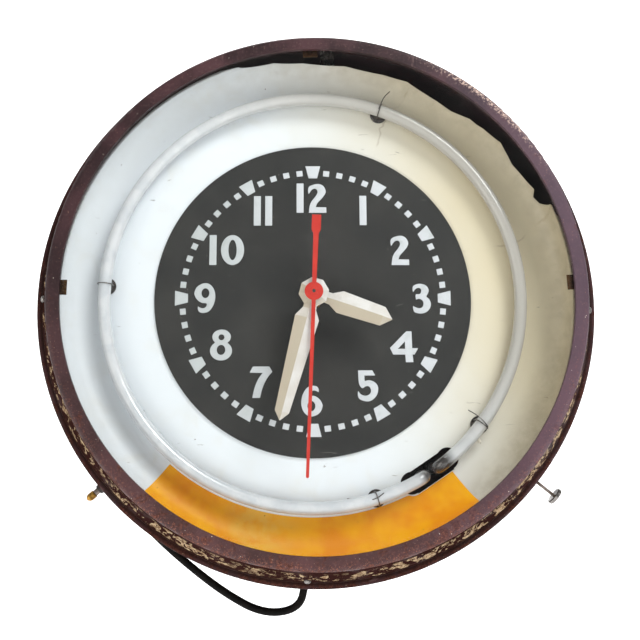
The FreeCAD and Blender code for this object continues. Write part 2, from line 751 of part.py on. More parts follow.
def minute_pipe():
    """Tube round the centre arbor: centre wheel, cannon pinion and minute hand ride on it."""
    module = module_of("minute", "motion_distance")
    bore = size("second_arbor_radius") + size("running_gap")
    pinion = gear(TEETH["minute"][0], module, bore, 101.5, 5, DIAL, size("motion_angle"), 0.95)
    foot = Vector(DIAL.x, -96, DIAL.z)
    pipe = Part.makeCylinder(size("minute_pipe_radius"), 152.4 - 96, foot, FRONT)
    pipe = pipe.cut(Part.makeCylinder(bore, 80, foot - FRONT * 5, FRONT))
    return shaped("minute_pipe", pipe.fuse(pinion).removeSplitter())


def minute_wheel():
    module = module_of("minute", "motion_distance")
    phase = meshed("minute", size("motion_angle"))
    return shaped("minute_wheel", gear(TEETH["minute"][1], module, size("arbor_radius"), 103, 2,
                                       MOTION, phase, 0.5))


def motion_arbor():
    """Side arbor of the motion work, with the pinion that drives the hour wheel."""
    module = module_of("hour", "motion_distance")
    pinion = gear(TEETH["hour"][0], module, 0.01, 107, 4, MOTION, size("motion_angle") + 180, 0.95)
    foot = Vector(MOTION.x, -76.2, MOTION.z)
    arbor = Part.makeCylinder(size("arbor_radius"), 116.8 - 76.2, foot, FRONT)
    return shaped("motion_arbor", arbor.fuse(pinion).removeSplitter())


def hour_wheel():
    module = module_of("hour", "motion_distance")
    phase = meshed("hour", size("motion_angle") + 180)
    return shaped("hour_wheel", gear(TEETH["hour"][1], module, size("hour_pipe_radius"), 108, 2,
                                     DIAL, phase, 0.5))


def hour_pipe():
    profile = [("minute_pipe_radius + running_gap", "107.4"), ("hour_pipe_radius", "107.4"),
               ("hour_pipe_radius", "hour_hand_level + 2.6"),
               ("minute_pipe_radius + running_gap", "hour_hand_level + 2.6")]
    return node(turned("hour_tube", profile, DIAL, FRONT), "hour_pipe")


def movement_plate(name, level, holes):
    """A round brass plate with pivot holes."""
    base = Vector(DIAL.x, -size(level), DIAL.z)
    disc = cylinder(name + "_disc", "plate_radius", "plate_thickness", base, FRONT)
    tools = []
    for centre, radius in holes:
        start = Vector(centre.x, -size(level) + 5, centre.z)
        tools.append(cylinder(name + "_hole", radius, 12, start, FRONT))
    for angle in PILLAR_ANGLES:
        start = polar(DIAL, size("pillar_circle"), angle, size(level) - 5)
        tools.append(cylinder(name + "_pillar_hole", 1.6, 12, start, FRONT))
    return node(cut(name + "_drilled", disc, *tools), name)


def front_plate():
    holes = [(DIAL, "bush_radius"), (GOING, "arbor_radius + running_gap"),
             (MOTION, "arbor_radius + running_gap")]
    return movement_plate("front_plate", "front_plate_level", holes)


MOTOR_SCREW_X = 20
MOTOR_SCREW_Z = 17


def rear_plate():
    holes = [(DIAL, "second_arbor_radius + running_gap"), (GOING, "arbor_radius + running_gap"),
             (MOTION, "arbor_radius + running_gap")]
    for side in (-1, 1):
        holes.append((DIAL + Vector(side * MOTOR_SCREW_X, 0, MOTOR_SCREW_Z), "1.5"))
    return movement_plate("rear_plate", "rear_plate_level", holes)


def plate_pillars():
    profile = [("1.6", "78"), ("pillar_radius", "78"), ("pillar_radius", "115"), ("1.6", "115")]
    pillars = []
    for angle in PILLAR_ANGLES:
        centre = polar(DIAL, size("pillar_circle"), angle, 0)
        pillars.append(turned("pillar", profile, centre, FRONT))
    return group("plate_pillars", *pillars)


def pillar_screws():
    """Long screws through the rear plate, the pillars and the front plate."""
    profile = [("0", "73.9"), ("3", "73.9"), ("3", "76"), ("1.6", "76"), ("1.6", "117"), ("0", "117")]
    screws = []
    for angle in PILLAR_ANGLES:
        centre = polar(DIAL, size("pillar_circle"), angle, 0)
        screws.append(turned("pillar_screw", profile, centre, FRONT))
    return group("pillar_screws", *screws)


def centre_bush():
    """Fixed threaded bush that holds the movement to the reflector and the dial."""
    profile = [("hour_pipe_radius + running_gap", "112"), ("9", "112"), ("9", "115"),
               ("bush_radius", "115"), ("bush_radius", "127"), ("hour_pipe_radius + running_gap", "127")]
    return node(turned("bush", profile, DIAL, FRONT), "centre_bush")


def hexagon_nut(name, flats, bore, length, origin, direction):
    prism = doc.addObject("Part::Prism", name + "_prism")
    prism.Polygon = 6
    bind(prism, "Circumradius", "%s / 1.7320508" % flats)
    bind(prism, "Height", length)
    prism.Placement = place(origin, direction)
    hole = cylinder(name + "_bore", bore, 40, origin - direction * 10, direction)
    return cut(name + "_nut", prism, hole)


def centre_nut():
    nut = hexagon_nut("centre", 18, "bush_radius", 4, Vector(DIAL.x, -size("dial_level"), DIAL.z), FRONT)
    return node(nut, "centre_nut")


def rotor_capsule():
    """Sealed rotor and reduction gear of the synchronous motor."""
    profile = [("0", "58"), ("15", "58"), ("17", "60"), ("17", "76"),
               ("second_arbor_radius + running_gap", "76"),
               ("second_arbor_radius + running_gap", "61.9"), ("0", "61.9")]
    return node(turned("capsule", profile, DIAL, FRONT), "rotor_capsule")


def upright(origin_x, origin_z, level):
    """Placement of a box whose length is X, width is Z and height is forwards."""
    frame = Rotation(Vector(1, 0, 0), Vector(0, 0, 1), FRONT, "XYZ")
    return Placement(Vector(DIAL.x + origin_x, -level, DIAL.z + origin_z), frame)


def field_core():
    """Laminated iron frame round the rotor, with a bottom bar through the coil."""
    frame = block("core_frame", 52, 84, 8, upright(-26, -60, 64))
    window = block("core_window", 30, 26, 12, upright(-15, -50, 62))
    bore = cylinder("core_bore", 17, 20, Vector(DIAL.x, -60, DIAL.z), FRONT)
    holes = []
    for side in (-1, 1):
        start = Vector(DIAL.x + side * MOTOR_SCREW_X, -60, DIAL.z + MOTOR_SCREW_Z)
        holes.append(cylinder("core_screw_hole", 1.5, 20, start, FRONT))
    return node(cut("core", frame, window, bore, *holes), "field_core")


def motor_coil():
    outer = block("coil_outer", 28, 25, 15, upright(-14, -67.5, 60.5))
    inner = block("coil_inner", 40, 10, 8, upright(-20, -60, 64))
    return node(cut("coil", outer, inner), "motor_coil")


def motor_posts():
    profile = [("1.5", "72"), ("3.5", "72"), ("3.5", "76"), ("1.5", "76")]
    posts = []
    for side in (-1, 1):
        centre = DIAL + Vector(side * MOTOR_SCREW_X, 0, MOTOR_SCREW_Z)
        posts.append(turned("motor_post", profile, centre, FRONT))
    return group("motor_posts", *posts)


def motor_screws():
    profile = [("0", "61.8"), ("3", "61.8"), ("3", "64"), ("1.5", "64"), ("1.5", "78"), ("0", "78")]
    screws = []
    for side in (-1, 1):
        centre = DIAL + Vector(side * MOTOR_SCREW_X, 0, MOTOR_SCREW_Z)
        screws.append(turned("motor_screw", profile, centre, FRONT))
    return group("motor_screws", *screws)


# ---------------------------------------------------------------- hand-setting rod

SETTING_ORIGIN = polar(DIAL, size("motion_distance"), size("motion_angle"), size("setting_level"))
SETTING = spoke(size("motion_angle"))
# distances along the rod are measured from the motion arbor
ARM = size("motion_distance")


def friction_wheel():
    """Cone disc on the motion arbor that the setting roller presses against."""
    profile = [("arbor_radius", "92"), ("8", "92"), ("12", "94"), ("12", "95.4"),
               ("arbor_radius", "95.4")]
    return node(turned("friction", profile, MOTION, FRONT), "friction_wheel")


def set_roller():
    """Rubber-faced cone on the inner end of the rod, parked clear of the friction wheel."""
    profile = [("set_rod_radius", "12.2"), ("4", "12.2"), ("6", "16.2"), ("6", "18.2"),
               ("set_rod_radius", "18.2")]
    return node(turned("roller", profile, SETTING_ORIGIN, SETTING), "set_roller")


def set_rod():
    """Plain rod with a collar on each side of the sliding sleeve."""
    knob_end = size("set_knob_distance") + size("set_knob_thickness") - ARM
    sleeve_in, sleeve_out = 250 - ARM, 272 - ARM
    rod = "set_rod_radius"
    profile = [
        ("0", "12.2"), (rod, "12.2"), (rod, str(sleeve_in - 2.1)), ("3", str(sleeve_in - 2.1)),
        ("3", str(sleeve_in - 0.1)), (rod, str(sleeve_in - 0.1)), (rod, str(sleeve_out + 0.1)),
        ("2.4", str(sleeve_out + 0.1)), ("2.4", str(sleeve_out + 1.6)), (rod, str(sleeve_out + 1.6)),
        (rod, str(knob_end)), ("0", str(knob_end)),
    ]
    return node(turned("rod", profile, SETTING_ORIGIN, SETTING), "set_rod")


def set_knob():
    start = size("set_knob_distance") - ARM
    stop = start + size("set_knob_thickness")
    profile = [
        ("set_rod_radius", str(start)), ("set_knob_radius - 0.8", str(start)),
        ("set_knob_radius", str(start + 0.8)), ("set_knob_radius", str(stop - 0.8)),
        ("set_knob_radius - 0.8", str(stop)), ("set_rod_radius", str(stop)),
    ]
    return node(turned("knob", profile, SETTING_ORIGIN, SETTING), "set_knob")


def from_motion(distance):
    """A distance from the dial's axis, as one from the motion arbor the rod points at."""
    return f"{distance} - motion_distance"


def set_sleeve():
    """Sleeve that slides in the case bushing; its key keeps it from turning."""
    bore, start, stop = "set_rod_radius + running_gap", from_motion(250), from_motion(272)
    profile = [(bore, start), ("sleeve_radius", start), ("sleeve_radius", stop), (bore, stop)]
    tube = turned("sleeve", profile, SETTING_ORIGIN, SETTING)
    frame = radial_frame(DIAL, size("motion_angle"), size("setting_level"))
    key = block("sleeve_key", 6, 1.6, 1.2, frame.multiply(Placement(Vector(256, -0.8, 3.3), Rotation())))
    return node(fused("keyed_sleeve", tube, key), "set_sleeve")


def set_bushing():
    """Fixed bushing in the case wall, with a flange inside and a keyway."""
    bore, barrel, flange = "sleeve_radius + running_gap", "set_bushing_radius", "9"
    start, flange_start = from_motion(252), from_motion(262)
    flange_stop, stop = from_motion(266.4), from_motion(271)
    profile = [(bore, start), (barrel, start), (barrel, flange_start), (flange, flange_start),
               (flange, flange_stop), (barrel, flange_stop), (barrel, stop), (bore, stop)]
    tube = turned("bushing", profile, SETTING_ORIGIN, SETTING)
    frame = radial_frame(DIAL, size("motion_angle"), size("setting_level"))
    slot = block("keyway", 16, 1.7, 4.7, frame.multiply(Placement(Vector(248, -0.85, 0), Rotation())))
    return node(cut("slotted_bushing", tube, slot), "set_bushing")


def rod_bearing():
    """Small post on the rear plate that steadies the rod's inner end."""
    frame = radial_frame(DIAL, size("motion_angle"), 78)
    post = block("bearing_post", 4, 12, 17, frame.multiply(Placement(Vector(57.5, -6, 0), Rotation())))
    hole = cylinder("bearing_hole", "set_rod_radius + running_gap", 20,
                    SETTING_ORIGIN + SETTING * (52 - ARM), SETTING)
    return node(cut("bearing", post, hole), "rod_bearing")


# ---------------------------------------------------------------- lamp switch

SWITCH = spoke(size("switch_angle"))
SWITCH_FOOT = polar(CASE, 0, size("switch_angle"), size("switch_level"))


def switch_body():
    """Moulded rotary canopy switch with its threaded nose through the case wall."""
    frame = radial_frame(CASE, size("switch_angle"), size("switch_level"))
    box = block("switch_box", 28, 24, 20, frame.multiply(Placement(Vector(229, -12, -10), Rotation())))
    nose = cylinder("switch_nose", "switch_bushing_radius", 22, SWITCH_FOOT + SWITCH * 254, SWITCH)
    bore = cylinder("switch_bore", "switch_stem_radius + running_gap", 40,
                    SWITCH_FOOT + SWITCH * 250, SWITCH)
    return node(cut("switch", fused("switch_outer", box, nose), bore), "switch_body")


def switch_nut():
    nut = hexagon_nut("switch", 14, "switch_bushing_radius", 6, SWITCH_FOOT + SWITCH * 264.4, SWITCH)
    return node(nut, "switch_nut")


def switch_stem():
    profile = [("0", "250.2"), ("switch_stem_radius", "250.2"), ("switch_stem_radius", "276.2"),
               ("3", "276.2"), ("3", "280.4"), ("2", "280.4"), ("2", "288"), ("0", "288")]
    return node(turned("stem", profile, SWITCH_FOOT, SWITCH), "switch_stem")


def switch_knob():
    """Small acorn knob: a turned blank cut by a ring of shallow grooves."""
    profile = [("2", "280.4"), ("2.9", "280.4"), ("switch_knob_radius", "281.6"),
               ("switch_knob_radius", "286.4"), ("switch_knob_radius - 0.6", "288.2"),
               ("switch_knob_radius - 2", "289.7"), ("switch_knob_radius - 3", "290.2"),
               ("0", "290.2"), ("0", "288"), ("2", "288")]
    blank = turned("switch_cap", profile, SWITCH_FOOT, SWITCH)
    side = UP.cross(SWITCH).normalize()
    over = SWITCH.cross(side).normalize()
    grooves = []
    for number in range(16):
        turn = 2 * math.pi * number / 16
        offset = (side * math.cos(turn) + over * math.sin(turn)) * (size("switch_knob_radius") + 0.25)
        start = SWITCH_FOOT + SWITCH * 280 + offset
        grooves.append(cylinder("knurl", 0.5, 7, start, SWITCH))
    return node(cut("knurled_knob", blank, *grooves), "switch_knob")


# ---------------------------------------------------------------- back cover and hanger

COVER_ANGLES = (20, 70, 118, 160, 248, 330)


def back_cover():
    """Flat sheet disc set into the drum, screwed to six tabs."""
    disc = cylinder("cover_disc", "cover_radius", "cover_sheet", FRONT * size("cover_level"), FRONT)
    tools = []
    for angle in COVER_ANGLES:
        tools.append(cylinder("cover_hole", 2, 10, polar(CASE, 255, angle, 22), FRONT))
    return node(cut("cover", disc, *tools), "back_cover")


def cover_tabs():
    """Tabs spot-welded inside the drum that take the cover screws."""
    outline = [("248", "28"), ("261.4", "28"), ("261.4", "42"), ("260", "42"), ("260", "29.5"),
               ("248", "29.5")]
    tab = pad("cover_tab", outline, "14", Placement())
    doc.recompute()
    centred = Placement(Vector(0, 0, -7), Rotation())
    tabs = []
    for angle in COVER_ANGLES:
        copy = doc.addObject("Part::Feature", "cover_tab_copy")
        copy.Shape = tab.Shape.copy()
        copy.Placement = turn_about(CASE, angle).multiply(lay_on_spoke()).multiply(centred)
        hole = cylinder("tab_hole", 1.8, 10, polar(CASE, 255, angle, 24), FRONT)
        tabs.append(cut("cover_tab_drilled", copy, hole))
    return group("cover_tabs", *tabs)


def cover_screws():
    profile = [("0", "25.1"), ("0.6", "25.1"), ("0.6", "25.6"), ("3.4", "25.6"), ("3.4", "27"),
               ("1.8", "27"), ("1.8", "33"), ("0", "33")]
    screws = []
    for angle in COVER_ANGLES:
        screws.append(turned("cover_screw", profile, polar(CASE, 255, angle, 0), FRONT))
    return group("cover_screws", *screws)


def hanger_bracket():
    """Hat-shaped steel strap on the back cover with a round hole for the wall hook."""
    outline = [("170", "27"), ("170", "25"), ("184", "25"), ("184", "2"), ("216", "2"),
               ("216", "25"), ("230", "25"), ("230", "27"), ("214", "27"), ("214", "4"),
               ("186", "4"), ("186", "27")]
    frame = Rotation(UP, FRONT, Vector(1, 0, 0), "XYZ")
    strap = pad("hanger", outline, "hanger_width", Placement(Vector(-22, 0, 0), frame))
    hole = cylinder("hanger_hole", "hanger_hole_radius", 10,
                    Vector(0, 2, size("hanger_centre_z")), FRONT)
    holes = [hole]
    for x in (-13, 13):
        for z in (177, 223):
            holes.append(cylinder("rivet_hole", 2, 12, Vector(x, -20, z), FRONT))
    return node(cut("hanger_strap", strap, *holes), "hanger_bracket")


# ---------------------------------------------------------------- transformer

TRANSFORMER_Z = -140


def transformer_core():
    """Stack of laminations with a window through which the coil passes."""
    stack = block("core_stack", 84, 60, 50, upright(-42, TRANSFORMER_Z - 30, 29.5))
    window = block("core_stack_window", 46, 80, 30, upright(-23, TRANSFORMER_Z - 40, 40))
    return node(cut("stack", stack, window), "transformer_core")


def transformer_coil():
    coil = block("transformer_coil", 46, 92, 30, upright(-23, TRANSFORMER_Z - 46, 40))
    return node(coil, "transformer_coil")


def transformer_strap():
    """Bent strap over the core with a foot on each side, bolted to the back cover."""
    outline = [("-60", "28"), ("-42", "28"), ("-42", "79.5"), ("42", "79.5"), ("42", "28"),
               ("60", "28"), ("60", "29.5"), ("43.5", "29.5"), ("43.5", "81"), ("-43.5", "81"),
               ("-43.5", "29.5"), ("-60", "29.5")]
    frame = Rotation(Vector(1, 0, 0), FRONT, Vector(0, 0, 1), "XYZ")
    origin = Vector(DIAL.x, 0, DIAL.z + TRANSFORMER_Z - 14)
    return node(pad("strap", outline, "28", Placement(origin, frame)), "transformer_strap")


def hv_insulators():
    """Two glazed porcelain posts on the coil's lower end."""
    profile = [("0", "0"), ("7", "0"), ("7", "4"), ("4.6", "5"), ("4.6", "7"), ("6.4", "8"),
               ("6.4", "10"), ("4.6", "11"), ("4.6", "13"), ("5.6", "14"), ("5.6", "16"),
               ("3", "18"), ("0", "18")]
    posts = []
    for side in (-1, 1):
        foot = Vector(DIAL.x + side * 13, -55, DIAL.z + TRANSFORMER_Z - 46)
        posts.append(turned("insulator", profile, foot, -UP))
    return group("hv_insulators", *posts)


# ---------------------------------------------------------------- leads and mains cord

def hv_leads():
    """Heavy insulated leads from the porcelain posts to the electrode boots."""
    leads = []
    for side, tail in zip((1, -1), tube_tails()):
        start = Vector(DIAL.x + side * 13, -55, DIAL.z + TRANSFORMER_Z - 64.2)
        drop = start - UP * 14
        end = tail - FRONT * 18.2
        rise = end - FRONT * 12
        middle = (drop + rise) * 0.5 + Vector(0, 10, -12 + 6 * side)
        leads.append(cable([start, drop, middle, rise, end], 1.6, 8))
    return shaped("hv_leads", Part.makeCompound(leads))


def cord_path():
    """Out of the case at six o'clock, down in a loop, then back in through the rear notch."""
    level = size("cord_level")
    points = [polar(CASE, 236, size("cord_angle"), level)]
    loop = [(-13.6, -288.5), (-22, -293), (-50.9, -291.6), (-88.9, -275.4), (-130.3, -245.4)]
    points += [Vector(x, -level, z) for x, z in loop]
    for radius, angle, height in ((272.5, 232.5, 66), (271.5, 229, 40), (270.5, 229, 16),
                                  (205, 229, 14)):
        points.append(polar(CASE, radius, angle, height))
    return points


def power_cord():
    return shaped("power_cord", cable(cord_path(), size("cord_radius"), 14))


def cord_grommet():
    profile = [("cord_radius + 0.1", "258"), ("cord_radius + 4", "258"), ("cord_radius + 4", "262.4"),
               ("cord_radius + 2", "262.4"), ("cord_radius + 2", "264.6"),
               ("cord_radius + 4", "264.6"), ("cord_radius + 3.4", "267.4"),
               ("cord_radius + 0.1", "267.4")]
    origin = Vector(0, -size("cord_level"), 0)
    return node(turned("grommet", profile, origin, spoke(size("cord_angle"))), "cord_grommet")


def plug_body():
    """Two-pin plug tucked into the recess behind the back cover."""
    profile = [("0", "170"), ("9", "170"), ("9.4", "172"), ("9.4", "188"), ("6.2", "194"),
               ("4.6", "204.9"), ("0", "204.9")]
    origin = FRONT * CORD_NOTCH_LEVEL
    body = turned("plug", profile, origin, spoke(CORD_NOTCH_ANGLE))
    tools = []
    for side in (-1, 1):
        tools.append(plug_blade(side, 166, 10))
    return node(cut("plug_moulding", body, *tools), "plug_body")


def plug_blade(side, start, length):
    frame = radial_frame(CASE, CORD_NOTCH_ANGLE, CORD_NOTCH_LEVEL)
    corner = Vector(start, side * 6.35 - 0.75, -3.2)
    return block("blade", length, 1.5, 6.4, frame.multiply(Placement(corner, Rotation())))


def plug_blades():
    return group("plug_blades", plug_blade(-1, 153, 23), plug_blade(1, 153, 23))


def wiring():
    """Thin inner leads: switch to transformer and to the motor coil."""
    back = -SWITCH
    switch = polar(CASE, 228.9, size("switch_angle"), size("switch_level"))
    coil = Vector(DIAL.x - 23.3, -55, DIAL.z + TRANSFORMER_Z + 38)
    motor = Vector(DIAL.x - 14.3, -68, DIAL.z - 63.5)
    left = Vector(-1, 0, 0)
    leads = []
    for target, rise in ((coil, 6), (motor, 40)):
        start = switch + UP * (2 + rise / 8)
        points = [start, start + back * 16, target + left * 30 + UP * rise, target + left * 14, target]
        leads.append(cable(points, 1.1, 8))
    return shaped("wiring", Part.makeCompound(leads))


# ---------------------------------------------------------------- build and write

PIECES = (
    case_body, bezel_ring, glass_lens, glass_clips, case_screws, reflector_brackets,
    reflector, dial_plate, neon_tube, electrode_boots, tube_supports, tie_wires,
    hour_hand, minute_hand, second_hand,
    second_arbor, going_arbor, going_wheel, centre_wheel, minute_pipe, minute_wheel,
    motion_arbor, hour_wheel, hour_pipe, front_plate, rear_plate, plate_pillars,
    pillar_screws, centre_bush, centre_nut, rotor_capsule, field_core, motor_coil,
    motor_posts, motor_screws,
    friction_wheel, set_roller, set_rod, set_knob, set_sleeve, set_bushing, rod_bearing,
    switch_body, switch_nut, switch_stem, switch_knob,
    back_cover, cover_tabs, cover_screws, hanger_bracket,
    transformer_core, transformer_coil, transformer_strap, hv_insulators,
    hv_leads, power_cord, cord_grommet, plug_body, plug_blades, wiring,
)

for piece in PIECES:
    piece()
doc.recompute()

for feature in doc.Objects:
    if "Invalid" in feature.State or "Error" in feature.State:
        raise SystemExit("%s did not build: %s" % (feature.Name, feature.State))
for name, feature in NODES.items():
    if feature.Shape.isNull() or not feature.Shape.isValid() or not feature.Shape.Solids:
        raise SystemExit("%s has no valid solid" % name)

os.makedirs("parts", exist_ok=True)
for name, feature in NODES.items():
    feature.Shape.exportStep("parts/%s.step" % name)
print("%d nodes, %d solids" % (len(NODES), sum(len(f.Shape.Solids) for f in NODES.values())))
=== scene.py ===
import json
import math

import bmesh
import bpy
from mathutils import Matrix, Vector
from mathutils.bvhtree import BVHTree


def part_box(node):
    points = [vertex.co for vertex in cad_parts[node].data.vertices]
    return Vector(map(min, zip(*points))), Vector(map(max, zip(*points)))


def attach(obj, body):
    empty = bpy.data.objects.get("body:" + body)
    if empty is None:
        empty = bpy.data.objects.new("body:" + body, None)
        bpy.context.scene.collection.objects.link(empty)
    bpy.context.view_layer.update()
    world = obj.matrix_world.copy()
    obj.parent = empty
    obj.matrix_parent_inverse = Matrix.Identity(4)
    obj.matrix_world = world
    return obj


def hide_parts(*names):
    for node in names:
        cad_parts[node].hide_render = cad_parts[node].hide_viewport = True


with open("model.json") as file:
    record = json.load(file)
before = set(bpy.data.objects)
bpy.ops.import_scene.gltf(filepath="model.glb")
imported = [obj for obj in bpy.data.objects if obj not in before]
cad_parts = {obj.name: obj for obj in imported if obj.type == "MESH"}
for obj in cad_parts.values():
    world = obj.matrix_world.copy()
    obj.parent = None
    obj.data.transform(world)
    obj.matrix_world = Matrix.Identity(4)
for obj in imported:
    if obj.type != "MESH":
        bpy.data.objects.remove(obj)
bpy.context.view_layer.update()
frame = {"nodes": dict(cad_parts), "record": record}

NODES = frame["nodes"]
MM = 0.001


def srgb(red, green, blue):
    """The linear RGBA of a colour given as 0-255 display values."""
    linear = []
    for value in (red, green, blue):
        share = value / 255
        linear.append(share / 12.92 if share <= 0.04045 else ((share + 0.055) / 1.055) ** 2.4)
    return (*linear, 1.0)


# ---------------------------------------------------------------- places

DIAL_LOW, DIAL_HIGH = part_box("dial_plate")
DIAL_X = (DIAL_LOW.x + DIAL_HIGH.x) / 2
DIAL_Z = (DIAL_LOW.z + DIAL_HIGH.z) / 2
DIAL_FACE = DIAL_LOW.y


def on_dial(across, up, level):
    """The place of a point given in mm from the dial's axis, level mm forward of the wall."""
    return Vector((DIAL_X + across * MM, -level * MM, DIAL_Z + up * MM))


def round_dial(radius, angle, level):
    """The place of a point at an angle in degrees, anticlockwise from three o'clock."""
    turn = math.radians(angle)
    return on_dial(radius * math.cos(turn), radius * math.sin(turn), level)


# ---------------------------------------------------------------- materials


class Finish:
    """A material whose colour, roughness and relief come from patterns sized in millimetres."""

    def __init__(self, name):
        self.material = bpy.data.materials.new(name)
        self.material.use_nodes = True
        self.tree = self.material.node_tree
        self.shader = self.tree.nodes["Principled BSDF"]
        coordinates = self.add("ShaderNodeTexCoord").outputs
        self.facing = coordinates["Normal"]
        self.place = self.vector("SCALE", coordinates["Object"], Scale=1 / MM)
        self.x, self.y, self.z = self.add("ShaderNodeSeparateXYZ", {0: self.place}).outputs

    def add(self, kind, inputs=None, **settings):
        """A node with its settings made and its inputs linked or set."""
        node = self.tree.nodes.new(kind)
        for key, value in settings.items():
            setattr(node, key, value)
        for key, value in (inputs or {}).items():
            self.feed(node.inputs[key], value)
        return node

    def feed(self, socket, value):
        """Links a socket to another, or gives it a plain value."""
        if isinstance(value, bpy.types.NodeSocket):
            self.tree.links.new(value, socket)
        else:
            socket.default_value = value

    def vector(self, operation, first, second=None, **named):
        """The result of a vector operation, a number for the two that measure."""
        inputs = {0: first, **named}
        if second is not None:
            inputs[1] = second
        node = self.add("ShaderNodeVectorMath", inputs, operation=operation)
        return node.outputs["Value" if operation in ("LENGTH", "DISTANCE") else "Vector"]

    def math(self, operation, first, second=0.0):
        """The result of an operation on one number or two."""
        return self.add("ShaderNodeMath", {0: first, 1: second}, operation=operation).outputs[0]

    def times(self, first, second):
        return self.math("MULTIPLY", first, second)

    def plus(self, first, second):
        return self.math("ADD", first, second)

    def band(self, value, low, high, to_low=0.0, to_high=1.0):
        """A smooth step as value goes from low to high."""
        inputs = {0: value, 1: low, 2: high, 3: to_low, 4: to_high}
        node = self.add("ShaderNodeMapRange", inputs, interpolation_type="SMOOTHSTEP")
        return node.outputs[0]

    def between(self, value, low, high, soft):
        """1 from low to high, fading to 0 over soft on either side."""
        rise = self.band(value, low - soft, low)
        fall = self.band(value, high, high + soft, 1.0, 0.0)
        return self.times(rise, fall)

    def noise(self, size, detail=4.0, roughness=0.6, distortion=0.0, stretch=None):
        """Cloudy noise whose features are about size mm across."""
        place = self.vector("MULTIPLY", self.place, stretch) if stretch else self.place
        inputs = {
            "Vector": place,
            "Scale": 1 / size,
            "Detail": detail,
            "Roughness": roughness,
            "Distortion": distortion,
        }
        return self.add("ShaderNodeTexNoise", inputs).outputs[0]

    def specks(self, size, share):
        """Small round spots about size mm apart, each share of that across."""
        inputs = {"Vector": self.place, "Scale": 1 / size, "Randomness": 1.0}
        gap = self.add("ShaderNodeTexVoronoi", inputs).outputs["Distance"]
        return self.band(gap, share * 0.6, share, 1.0, 0.0)

    def mix(self, factor, first, second):
        """The first colour at factor 0, the second at 1."""
        node = self.add("ShaderNodeMix", {0: factor, 6: first, 7: second}, data_type="RGBA")
        return node.outputs[2]

    def radius(self, centre=(0.0, 0.0, 0.0)):
        """Distance in mm from the front-to-back axis through centre."""
        flat = self.vector("MULTIPLY", self.vector("SUBTRACT", self.place, centre), (1, 0, 1))
        return self.vector("LENGTH", flat)

    def near(self, spot, inner, outer):
        """1 within inner mm of a place in metres, fading to 0 at outer mm."""
        gap = self.vector("DISTANCE", self.place, tuple(spot / MM))
        return self.band(gap, inner, outer, 1.0, 0.0)

    def done(self, colour, roughness, height=None, depth=0.1, **values):
        """Feeds the shader. depth is the relief in mm that height's 0-1 stands for."""
        self.feed(self.shader.inputs["Base Color"], colour)
        self.feed(self.shader.inputs["Roughness"], roughness)
        if height is not None:
            inputs = {"Strength": 1.0, "Distance": depth * MM, "Height": height}
            bump = self.add("ShaderNodeBump", inputs)
            self.feed(self.shader.inputs["Normal"], bump.outputs[0])
        for key, value in values.items():
            self.feed(self.shader.inputs[key.replace("_", " ")], value)
        return self.material


# Where the case changes along Y, in mm, the front being towards minus.
BACK_EDGE = (-6, -1)
BEAD = (-119, -105.5)
BEAD_CROWN = (-116, -107)
GROOVE = (-121.5, -117.6)
FLARE = (-138, -121)
FLARE_MIDDLE = (-135, -123)
NECK = (-138, -141)

# Where the bezel, the reflector and the glass change, in mm out from the case's axis.
BEZEL_OUTER_EDGE = (246.8, 249.6)
BEZEL_OUTER_HALF = (243.5, 251.0)
BEZEL_FACE = (240.0, 246.0)
BEZEL_INNER_EDGE = (238.4, 236.6)
REFLECTOR_EDGE = (242.2, 243.4)
REFLECTOR_RIM = (209, 236)
GLASS_RIM = (231, 243)

# The tube's ring, in mm from the dial's axis and forward of the wall, and its marks in degrees.
TUBE_RADIUS = 198.0
TUBE_LEVEL = 128.0
BURN_ANGLE = -55.0
HAZE_ANGLE = -61.5

# Single worn places: the shoulder in metres, the stain in mm, and the faded spot as radius,
# angle and level on the dial.
WORN_SHOULDER = Vector((0.165, -0.160, 0.185))
STAIN_CENTRE = (150.0, 0.0, 140.0)
STAIN_RADIUS = 104.0
FADED_SPOT = (222, 257, 122)

PLUM = srgb(70, 45, 48)
PLUM_DARK = srgb(40, 24, 26)
PLUM_PALE = srgb(114, 88, 86)
RUST = srgb(92, 54, 44)
RUST_DARK = srgb(48, 26, 21)
CREAM = srgb(182, 160, 128)
SHADE_AND_RUST_BROWN = srgb(34, 20, 17)


def weathered(f, wear):
    """Plum paint over steel with rust breaking through where wear is high."""
    cloud = f.noise(52, 4)
    fine = f.noise(2.6, 6, 0.7)
    broad = f.noise(17, 9, 0.72, 0.4)
    paint = f.mix(f.band(cloud, 0.36, 0.64), PLUM_DARK, PLUM)
    paint = f.mix(f.times(f.band(fine, 0.5, 0.74), 0.4), paint, PLUM_PALE)
    rust_colour = f.mix(f.band(f.noise(2.2, 8, 0.7), 0.42, 0.6), RUST_DARK, RUST)
    rust = f.band(f.plus(broad, f.times(wear, 0.16)), 0.60, 0.70)
    colour = f.mix(rust, paint, rust_colour)
    return colour, rust, fine, broad


